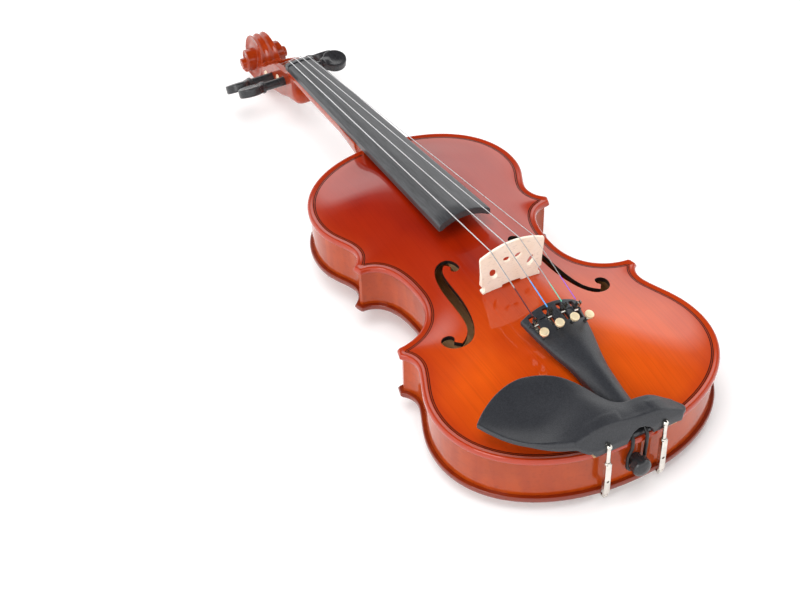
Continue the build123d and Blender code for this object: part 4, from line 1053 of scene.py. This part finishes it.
def neck_field(x, y, z):
    """Handle, heel, pegbox and scroll, carved from one piece."""
    w = np.abs(x)
    dy, dz = y - PEG_START[0], z - PEG_START[1]
    u = dy * math.cos(HEAD_TILT) - dz * math.sin(HEAD_TILT)
    v = dy * math.sin(HEAD_TILT) + dz * math.cos(HEAD_TILT)
    head = smin(pegbox(u, v, w), volute(u, v, w), 0.8)
    head = smax(head, -cavity(u, v, w), 0.5)
    for i in range(4):
        hole = SHAFT_RADIUS + PEG_FIT - np.hypot(u - PEG_STEP * i, v)
        head = np.maximum(head, hole)
    ny, nz = y - NUT_Y, z - NUT_Z
    along = -ny * math.cos(SLOPE) + nz * math.sin(SLOPE)
    up = ny * math.sin(SLOPE) + nz * math.cos(SLOPE)
    half = board_width(along) / 2
    deep = 13.0 + 2.0 * ease(0, 118, along)
    power = 2.5
    ring = ((w / half) ** power + (np.maximum(-up, 0) / deep) ** power) ** (1 / power) - 1
    handle = smax(ring * 11.5, np.maximum(-3 - along, along - HANDLE_END), 0.6)
    heel_half = BUTTON_RADIUS + (z - BACK_GLUE) * 0.116
    reach = HEEL_REACH(z)
    push = np.maximum(y - HEEL_ROUND, 0) / (reach - (HEEL_ROUND - HEEL_FRONT))
    level = ((w / heel_half) ** power + push**power) ** (1 / power) - 1
    heel = smax(level * 11.0, BACK_GLUE - z, 0.3)
    grip = smin(handle, heel, 5.0)
    grip = np.maximum(grip, np.maximum(up, HEEL_FRONT - y))
    grip = np.maximum(grip, BACK_GLUE - z)
    under_board = np.where(along > -1, up, -9)
    head = np.maximum(head, under_board)
    return smin(grip, head, 1.6)


def neck():
    carved_piece("neck_and_scroll", neck_field, (-22.2, 344.0, -24.0), (22.2, 594.0, 62.0), 0.62,
                 NECK, "neck")


def board_rise(x):
    return math.sqrt(BOARD_RADIUS**2 - x**2)


def fingerboard():
    """Lofted along the neck, with rounded long edges and the hollow under its free end."""
    share = np.linspace(-1, 1, 41)
    rings = []
    solid_part, hollow_part = np.linspace(20, HOLLOW_FROM - 0.1, 9), np.linspace(165, BOARD_LONG - 0.8, 9)
    stations = [0, 0.5, *solid_part, HOLLOW_FROM, *hollow_part, BOARD_LONG - 0.3, BOARD_LONG]
    for along in stations:
        end = max(0.0, 0.5 - min(along, BOARD_LONG - along)) * 0.9
        half = board_width(along) / 2 - end
        centre = BOARD_EDGE - board_rise(board_width(along) / 2)
        x_top = share * half
        top = centre + np.sqrt(BOARD_RADIUS**2 - x_top**2) - end
        near = half - np.abs(x_top)
        top = top - 0.7 * (1 - np.sqrt(1 - np.clip(1 - near / 0.9, 0, 1) ** 2))
        base = np.zeros(41)
        if along >= HOLLOW_FROM:
            square = BOARD_HOLLOW**2 - x_top**2
            base = np.maximum(0, centre + np.sqrt(square))
            base = np.where(np.abs(x_top) > half - 2.2, 0, base)
        upper = on_neck(along, x_top, top)
        lower = on_neck(along, x_top[::-1], base[::-1] + (end if along else 0))
        rings.append(np.concatenate([upper, lower]))
    points, faces = loft(rings)
    add_piece("fingerboard_black", points, faces, EBONY, replaces=["fingerboard"],
              sharp=28)


def nut():
    """The nut with its four string notches."""
    share = np.linspace(-1, 1, 121)
    half = BOARD_NARROW / 2
    rings = []
    stations = ((0.0, 0.25), (-0.25, 0.0), (-1.6, 0.0), (-3.2, 0.18), (-4.6, 0.55), (-5.3, 1.1), (-5.5, 1.6))
    for along, fall in stations:
        x = share * half
        top = BOARD_EDGE + NUT_PROUD + np.sqrt(BOARD_RADIUS**2 - x**2) - board_rise(half) - fall
        near = half - np.abs(x)
        top = top - 0.8 * (1 - np.sqrt(1 - np.clip(1 - near / 1.0, 0, 1) ** 2))
        for index, radius in enumerate(STRINGS.values()):
            place_x = (index - 1.5) * NUT_SPACING
            top = top - 0.45 * np.exp(-(((x - place_x) / (radius + 0.35)) ** 4))
        rings.append(np.concatenate([on_neck(along, x, top), on_neck(along, x[::-1], 0)]))
    points, faces = loft(rings)
    faces = [f[::-1] for f in faces]
    add_piece("nut_black", points, faces, EBONY, replaces=["nut"], sharp=32)


# ---- pegs, strings and tuners ----

def peg_field(a, b, t):
    """a across the thumb piece's cheeks, b along them, t out from the middle of the head."""
    r = np.hypot(a, b)
    shaft = smax(r - SHAFT_RADIUS, np.maximum(8 - t, t - 30), 0.4)
    collar = smax(r - PEG_COLLAR, np.abs(t - PEG_COLLAR_OUT) - 1.1, 0.9)
    throat = smax(r - (4.2 - (t - 31.6) * 0.25), np.abs(t - 33.6) - 2.4, 0.5)
    disc = smax(np.hypot(b, t - THUMB_OUT) - THUMB_RADIUS, np.abs(a) - THUMB_HALF, 1.6)
    dish = DISH_RADIUS - np.sqrt((np.abs(a) - 27.4) ** 2 + b**2 + (t - 42.6) ** 2)
    thumb = smax(disc, dish, 1.0)
    return smin(smin(smin(shaft, collar, 0.25), throat, 0.6), thumb, 3.0)


def peg_shaft(reach):
    """The bare shaft, from its far end in the cheek to where the black part starts."""
    angle = np.linspace(0, 2 * math.pi, 40, endpoint=False)
    rings = []
    profile = ((-reach, 2.9), (-reach, 3.3), (0.4 - reach, SHAFT_RADIUS), (8.6, SHAFT_RADIUS), (8.6, 3.0))
    for t, radius in profile:
        rings.append(np.stack([radius * np.cos(angle), radius * np.sin(angle), np.full(40, t)], 1))
    return loft(rings)


def pegs():
    points, faces, normals = carve(peg_field, (-6, -11.5, 7), (6, 11.5, 54), 0.55)
    for letter, (place_along, side) in PEG_SIDE.items():
        turn = math.radians(PEG_TURN[letter])
        across = np.array((0, math.cos(turn), math.sin(turn)))
        out = np.array((side, 0, 0), float)
        basis = np.stack([across, np.cross(out, across), out])
        centre = head_point(PEG_STEP * place_along, 0)
        rod, rod_faces = peg_shaft(PEG_REACH[place_along])
        add_piece(f"peg_{letter}_shaft", rod @ basis + centre, rod_faces, PEG_SHAFT, body=f"peg_{letter}",
                  replaces=[f"peg_{letter}"], sharp=40)
        add_piece(f"peg_{letter}_black", points @ basis + centre, faces, PEG_BLACK, body=f"peg_{letter}",
                  replaces=[f"peg_{letter}"], point_normals=normals @ basis)


def turned(degrees, axis):
    return np.array(Matrix.Rotation(math.radians(degrees), 3, axis))


def tail_ridge(y):
    t = (y - TAIL_REAR) / (TAIL_FRONT - TAIL_REAR)
    return TAIL_TOP_REAR + (TAIL_TOP_FRONT - TAIL_TOP_REAR) * t


def tuner_points(index, points):
    """Points given in a tuner's own frame: Z along the screw, Y towards the bridge."""
    x = TUNER_X[index]
    base = np.array((x, TUNER_Y, tail_ridge(TUNER_Y) - 0.0135 * x * x))
    basis = turned(TUNER_LEAN, "X") @ turned(TUNER_FAN * x, "Y")
    return np.asarray(points, float) @ basis.T + base


def crown_height(across):
    """Height of the bridge's crown, the last curve of its outline."""
    x, z = sampled([BRIDGE_EDGE[-1]], 0.1).T
    return np.interp(np.abs(across), x[::-1], z[::-1])


def string_route(letter, index):
    radius = STRINGS[letter]
    across_nut, across_bridge = (index - 1.5) * NUT_SPACING, (index - 1.5) * BRIDGE_SPACING
    crown = BOARD_EDGE + NUT_PROUD + board_rise(across_nut) - board_rise(BOARD_NARROW / 2)
    at_nut = on_neck(0, across_nut, crown + radius + STRING_GAP)
    after_nut = on_neck(-NUT_LONG - 0.3, across_nut, crown - 0.35 + radius)
    bridge_height = crown_height(across_bridge) + radius + STRING_GAP
    over_bridge = np.array((BRIDGE_X + across_bridge, BRIDGE_Y, bridge_height))
    on_peg = head_point(PEG_STEP * PEG_SIDE[letter][0], SHAFT_RADIUS + 0.1 + 3 * radius, across_nut * 0.45)
    end = tuner_points(index, [(0, *STRING_END)])[0]
    return [on_peg, after_nut, at_nut, over_bridge, end]


def strings():
    for index, (letter, radius) in enumerate(STRINGS.items()):
        route = string_route(letter, index)
        path = [route[0]]
        for before, corner, after in zip(route, route[1:], route[2:]):
            near = min(1.2, np.linalg.norm(corner - before) * 0.3)
            a = corner + unit(before - corner) * near
            b = corner + unit(after - corner) * near
            path += [a, corner * 0.5 + (a + b) * 0.25, b]
        last = route[-1]
        knot = last + unit(last - route[-2]) * 0.9
        silk_start = last + unit(route[-2] - last) * SILK_LONG[letter]
        path += [silk_start + unit(route[-2] - last) * 0.4, silk_start, last, knot]
        path = np.array(path)
        run = np.concatenate(([0], np.cumsum(np.linalg.norm(np.diff(path, axis=0), axis=1))))
        from_tuner = run[-2] - run
        thick = np.where(from_tuner <= SILK_LONG[letter] + 0.05, radius * 1.12, radius)
        points, faces = tube(path, thick, 12)
        tuner = np.repeat(from_tuner, 12)
        wire = string_metal(letter)
        add_piece(f"string_{letter}_wire", points, faces, wire, replaces=[f"string_{letter}"],
                  sharp=50, values={"from_tuner": tuner})
        coil(letter, route[0], radius, wire)


def coil(letter, on_peg, radius, wire):
    """Turns of string wound side by side round the peg."""
    centre = head_point(PEG_STEP * PEG_SIDE[letter][0], 0)
    room = COIL_LONG - 2 * radius
    turns = min(5.0, room / (2.06 * radius))
    t = np.linspace(0, turns, int(turns * 28))
    angle = math.radians(90) - HEAD_TILT - 2 * math.pi * t
    x = on_peg[0] + room / 2 - room * t / turns
    reach = SHAFT_RADIUS + radius
    path = np.stack([x, centre[1] + reach * np.cos(angle), centre[2] + reach * np.sin(angle)], 1)
    points, faces = tube(path, radius, 8)
    add_piece(f"string_coil_{letter}_wire", points, faces, wire, body=f"peg_{letter}",
              replaces=[f"string_coil_{letter}"], sharp=50,
              values={"from_tuner": np.full(len(points), 200.0)})


def knobs():
    """Knurled tuner knobs with a domed top."""
    ribs = 26
    angle = np.linspace(0, 2 * math.pi, ribs * 4, endpoint=False)
    groove = 0.16 * (np.arange(ribs * 4) % 4 < 2)
    profile = [(0.0, 1.45, 0), (1.25, 1.45, 0), (1.25, 0.02, 0), (2.7, 0.0, 0), (3.05, 0.3, 1),
               (KNOB_RADIUS, 0.5, 1), (KNOB_RADIUS, 2.0, 1), (3.05, 2.25, 1), (2.7, 2.42, 0), (1.8, 2.5, 0),
               (1.5, 2.56, 0), (0.001, KNOB_TALL, 0)]
    for index, letter in enumerate(STRINGS):
        rings = []
        for radius, height, knurl in profile:
            r = np.maximum(radius - groove * knurl, 0.001)
            level = np.full(len(angle), KNOB_BASE + height)
            rings.append(tuner_points(index, np.stack([r * np.cos(angle), r * np.sin(angle), level], 1)))
        points, faces = loft(rings)
        add_piece(f"tuner_knob_{letter}_brass", points, faces, BRASS, body=f"tuner_knob_{letter}",
                  replaces=[f"tuner_knob_{letter}"], sharp=30)


# ---- bridge and clamp ----

BRIDGE_LOOP = both_halves(BRIDGE_EDGE, 0.5)
UNDER_X = np.linspace(-30, 30, 61)
UNDER_Z = TOP_GLUE + EDGE + (TOP_RISE - EDGE) * fullness(np.stack([UNDER_X, np.full(61, BRIDGE_Y + 1.3)], 1))


def bridge_field(x, y, z):
    """A thin plate with feet fitted to the arch: upright towards the tail, tapered towards the neck."""
    across = x - BRIDGE_X
    plan = plan_distance(across, z, BRIDGE_LOOP)
    for hole_x, hole_z, turn, long, short in BRIDGE_HOLES:
        for side in (-1, 1):
            c, s = math.cos(math.radians(turn)), side * math.sin(math.radians(turn))
            a, b = across - side * hole_x, z - hole_z
            reach = np.hypot((a * c + b * s) / long, (b * c - a * s) / short)
            plan = smax(plan, (1 - reach) * short, 0.3)
    rear = BRIDGE_Y - BRIDGE_CROWN / 2
    thick = BRIDGE_CROWN + (BRIDGE_FOOT - BRIDGE_CROWN) * (1 - ease(60, 92, z)) ** 2
    solid = smax(plan, np.maximum(rear - y, y - rear - thick), 0.45)
    return np.maximum(solid, np.interp(x, UNDER_X, UNDER_Z) + 0.02 - z)


def bridge():
    carved_piece("bridge_maple", bridge_field, (-26, 155.0, 55), (28, 163, 100.5), 0.36,
                 BRIDGE, "bridge")


def barrel_field(x, y, z):
    """A square turnbuckle with softened edges, a collar at its top and a hole for turning it."""
    side = smax(np.abs(x), np.abs(y), 0.9) - BARREL_HALF
    solid = smax(side, np.maximum(BARREL_Z[0] - z, z - BARREL_Z[1] + 1.2), 0.5)
    r = np.hypot(x, y)
    collar = smax(r - BARREL_COLLAR, np.maximum(COLLAR_FROM - z, z - BARREL_Z[1]), 0.4)
    solid = smin(solid, collar, 0.3)
    low_bore = np.where(z < TURN_HOLE_Z - 1, BARREL_BORES[0] - r, -9)
    bore = np.where(z > TURN_HOLE_Z + 1, BARREL_BORES[1] - r, low_bore)
    solid = np.maximum(solid, bore)
    return smax(solid, TURN_HOLE - np.hypot(x, z - TURN_HOLE_Z), 0.3)


def post_field(x, y, z):
    """A wire bent from the leg into the chin rest, swollen at the bend, with a small dimple on it."""
    leg = smax(np.hypot(x, y) - POST_WIRE, np.maximum(POST_LOW - z, z - POST_PIN_Z), 0.3)
    bend = np.sqrt(x**2 + y**2 + (z - POST_PIN_Z) ** 2) - POST_BEND
    pin = smax(np.hypot(x, z - POST_PIN_Z) - 1.45, np.maximum(-y, y + CLAMP_Y - PIN_END), 0.2)
    solid = smin(smin(leg, bend, 0.1), pin, 0.1)
    dimple = POST_DIMPLE - np.sqrt(x**2 + (y + POST_BEND) ** 2 + (z - POST_PIN_Z) ** 2)
    return smax(solid, dimple, 0.1)


def clamp():
    barrel = carve(barrel_field, (-2.8, -2.8, 14), (2.8, 2.8, 48), 0.3)
    post = carve(post_field, (-2.6, -2.7, 35), (2.6, 10, 63), 0.3)
    for name, x in zip(("left", "right"), CLAMP_X):
        points, faces, normals = barrel
        add_piece(f"clamp_barrel_{name}_nickel", points + [x, CLAMP_Y, 0], faces, NICKEL,
                  body=f"clamp_barrel_{name}", replaces=[f"clamp_barrel_{name}"],
                  point_normals=normals)
        points, faces, normals = post
        add_piece(f"clamp_post_{name}", points + [x, CLAMP_Y, 0], faces, NICKEL, replaces=["clamp_posts"],
                  point_normals=normals)


# ---- tailpiece ----

TAIL_LOOP = both_halves(TAIL_EDGE, 1.2)


def tail_half(y):
    return np.interp(y, (2.5, 30, 52, 68, 82, 107, 112), (8.6, 8.8, 10.3, 14.0, 17.3, 21.4, 21.8))


def tail_field(x, y, z):
    """An arched plate with four slots, an ear on each side of them, and bores for the gut."""
    plan = plan_distance(x, y, TAIL_LOOP)
    half = tail_half(y)
    drop = np.interp(y, (2.5, 40, 66, 110), (5.0, 5.6, 6.4, 6.4))
    thick = np.interp(y, (2.5, 50, 66, 110), (7.0, 5.6, 4.6, 3.6))
    top = tail_ridge(y) - drop * np.abs(x / half) ** 2.1
    solid = smax(smax(plan, (z - top) * 0.9, 1.3), (top - thick - z) * 0.9, 0.8)
    for index in range(4):
        base = tuner_points(index, [(0, 0, 0)])[0]
        basis = turned(TUNER_LEAN, "X") @ turned(TUNER_FAN * TUNER_X[index], "Y")
        px, py, pz = x - base[0], y - base[1], z - base[2]
        a = px * basis[0, 0] + py * basis[1, 0] + pz * basis[2, 0]
        b = px * basis[0, 1] + py * basis[1, 1] + pz * basis[2, 1]
        c = px * basis[0, 2] + py * basis[1, 2] + pz * basis[2, 2]
        ear_y, ear_z = LEVER_PIN
        ear = np.maximum(np.abs(np.abs(a) - EAR_GAP) - EAR_THICK, np.abs(b - ear_y) - EAR_HALF)
        ear = np.maximum(ear, np.abs(c - ear_z - 0.4) - EAR_HALF)
        solid = np.minimum(solid, ear)
        slot = smax(np.abs(a) - SLOT_HALF, np.abs(b - SLOT_MIDDLE) - SLOT_REACH, 1.0)
        solid = smax(solid, -slot, 0.35)
        solid = np.maximum(solid, SCREW_BORE - np.hypot(a, b))
        solid = np.maximum(solid, PIN_BORE - np.hypot(b - ear_y, c - ear_z))
    for side in (-1, 1):
        bore = np.hypot(x - side * GUT_HALF, z - 59.6 - (y - 4.4) * 0.146)
        solid = np.maximum(solid, np.where(y < 14, GUT_BORE - bore, -9))
        mouth = np.hypot(x - side * GUT_HALF, (z - 57.2 - (y - 2.0) * 0.686) * 0.82)
        solid = np.maximum(solid, np.where(y < 5.5, GUT_MOUTH - mouth, -9))
    return solid


def tailpiece():
    carved_piece("tailpiece_black", tail_field, (-23, 1.0, 50.0), (23, 111.5, 83.5), 0.55,
                 PLASTIC, "tailpiece")


# ---- chin rest ----

CHIN_LOOP = sampled(CHIN_EDGE, 1.6)


def chin_top(x, y):
    """Height of the top: a bowl on the bass side, a hump over the tailpiece, a steep apron at the rear."""
    inwards = 0.754 * (x + 90.7) + 0.656 * (y - 47.5)
    rise = 68.5 + 8.5 * ease(0, 40, inwards) - 8.5 * ease(-30, 4, x)
    dish = -7.5 * np.exp(-(((x + 52) / 25) ** 2 + ((y - 35) / 18) ** 2))
    hump = 2.0 * np.exp(-((x - 6) / 18) ** 2 - ((y - 9) / 12) ** 2)
    front = 3.8 - 0.07 * (x + 24) + 0.5 * np.maximum(-46 - x, 0)
    apron = -(4.8 + 6.2 * ease(-50, -28, x)) * ease(0, 1, (front - y) / 6.5)
    return rise + dish + hump - 8.0 * ease(14, 38, x) + apron


def chin_field(x, y, z):
    plan = plan_distance(x, y, CHIN_LOOP)
    top = chin_top(x, y)
    above = (z - top) * 0.8
    plate = smax(smax(plan, above, 1.3), (top - CHIN_THICK - z) * 0.8, 1.3)
    foot = None
    for low, high in FEET_X:
        block = np.maximum(np.maximum(low - x, x - high), np.maximum(FEET_Y[0] - y, y - FEET_Y[1]))
        foot = block if foot is None else np.minimum(foot, block)
    foot = smax(smax(smax(foot, plan, 0.6), above, 1.2), FOOT_Z - z, 0.3)
    skirt = np.maximum(np.maximum(SKIRT_X[0] - x, x - SKIRT_X[1]), y - SKIRT_BACK)
    skirt = smax(smax(smax(skirt, plan, 0.6), above, 1.5), SKIRT_LOW - z, 0.8)
    solid = smax(smin(plate, smin(foot, skirt, 1.0), 3.5), above, 1.3)
    arch = np.where(y < SKIRT_BACK, ARCH_RADIUS - np.hypot(x, z - ARCH_Z), -9)
    solid = smax(solid, arch, 0.8)
    (left, right), (rear, front), ceiling = TAIL_ROOM
    room = np.maximum(np.maximum(left - x, x - right), np.maximum(rear - y, y - front))
    room = np.maximum(room, z - ceiling)
    solid = np.maximum(solid, -room)
    for cx in CLAMP_X:
        pin = np.where(y < PIN_END + 0.1, POST_WIRE - np.hypot(x - cx, z - POST_PIN_Z), -9)
        solid = np.maximum(solid, pin)
    return solid


def chin_rest():
    carved_piece("chin_rest_black", chin_field, (-93, -3.5, 50), (39, 65, 81), 0.72,
                 PLASTIC, "chin_rest")


# ---- all pieces ----

top_plate()
back_plate()
purfling("purfling_top_strips", "purfling_top", TOP_GLUE, 1, TOP_RISE,
         [rectangle(*SADDLE_CUT), rectangle(*PURFLING_GAP)])
purfling("purfling_back_strips", "purfling_back", BACK_GLUE, -1, BACK_RISE, [])
neck()
fingerboard()
nut()
pegs()
strings()
knobs()
tailpiece()
chin_rest()
bridge()
clamp()

wear(RIB, *(f"rib_{bout}_{side}" for bout in ("lower", "centre", "upper") for side in ("bass", "treble")))
wear(INSIDE, "neck_block", "end_block", "corner_blocks", "linings_top", "linings_back", "bass_bar",
     "sound_post")
wear(EBONY, "saddle")
wear(PEG_BLACK, "end_button")
wear(GUT, "tail_gut")
wear(CORK, "chin_rest_cork", "clamp_foot_cork")
wear(NICKEL, "clamp_foot", "tuner_pins",
     *(f"tuner_{kind}_{letter}" for kind in ("lever", "stem") for letter in STRINGS))


# ---- floor, light and camera ----

def add_floor():
    half = 6.0
    points = [(x, y, 0.0) for x in (-half, half) for y in (-half, half)]
    mesh = bpy.data.meshes.new("floor")
    mesh.from_pydata(points, [], [(0, 2, 3, 1)])
    material, tree, shader = new_material("floor_white")
    cloud = noise(tree, (3, 3, 3), 2)
    white = ramp(tree, cloud, [(0.3, (0.90, 0.90, 0.90)), (0.7, (0.92, 0.92, 0.92))])
    tree.links.new(white, shader.inputs["Base Color"])
    shader.inputs["Roughness"].default_value = 0.6
    shader.inputs["Emission Color"].default_value = rgba((1.0, 1.0, 1.0))
    shader.inputs["Emission Strength"].default_value = 0.15
    mesh.materials.append(material)
    obj = bpy.data.objects.new("floor", mesh)
    bpy.context.scene.collection.objects.link(obj)


def add_world():
    """White walls up to a height, with a darker ceiling over them."""
    world = bpy.data.worlds.new("studio")
    bpy.context.scene.world = world
    world.use_nodes = True
    tree = world.node_tree
    background = tree.nodes["Background"]
    coordinates = tree.nodes.new("ShaderNodeTexCoord").outputs["Generated"]
    height = make(tree, "ShaderNodeSeparateXYZ", Vector=coordinates).outputs[2]
    walls = ramp(tree, height, [(0.0, 0.40), (0.30, 0.62), (0.45, 0.88), (0.56, 0.92), (0.66, 0.12),
                                (0.73, 0.015), (1.0, 0.015)])
    tree.links.new(walls, background.inputs["Color"])
    background.inputs["Strength"].default_value = 2.2


def add_light(name, place_at, target, size, power, glossy=True):
    light = bpy.data.lights.new(name, "AREA")
    light.shape, light.size, light.size_y = "RECTANGLE", size[0], size[1]
    light.energy = power
    obj = bpy.data.objects.new(name, light)
    obj.location = place_at
    obj.rotation_euler = (Vector(target) - Vector(place_at)).to_track_quat("-Z", "Y").to_euler()
    obj.visible_glossy = glossy
    bpy.context.scene.collection.objects.link(obj)


def add_camera():
    forward = LAY @ np.array((0.34118, 0.65855, -0.67076))
    up = LAY @ np.array((0.33207, 0.58312, 0.74142))
    right = np.cross(forward, up)
    right /= np.linalg.norm(right)
    up = np.cross(right, forward)
    camera = bpy.data.cameras.new("photo_view")
    camera.lens, camera.sensor_width = 76.26, 36.0
    camera.clip_start, camera.clip_end = 0.05, 50
    obj = bpy.data.objects.new("photo_view", camera)
    matrix = np.eye(4)
    matrix[:3, 0], matrix[:3, 1], matrix[:3, 2] = right, up, -forward
    matrix[:3, 3] = to_row(np.array((-468.40, -582.02, 836.64)))
    obj.matrix_world = Matrix(matrix.tolist())
    bpy.context.scene.collection.objects.link(obj)
    bpy.context.scene.camera = obj


add_camera()
add_floor()
add_world()
add_light("overhead", (-0.3, -0.2, 1.8), (0, 0, 0), (1.6, 1.6), 26, glossy=False)
add_light("left_box", (-1.5, -0.9, 1.1), (0, 0, 0), (0.9, 0.9), 10)
bpy.context.scene.view_settings.view_transform = "Standard"
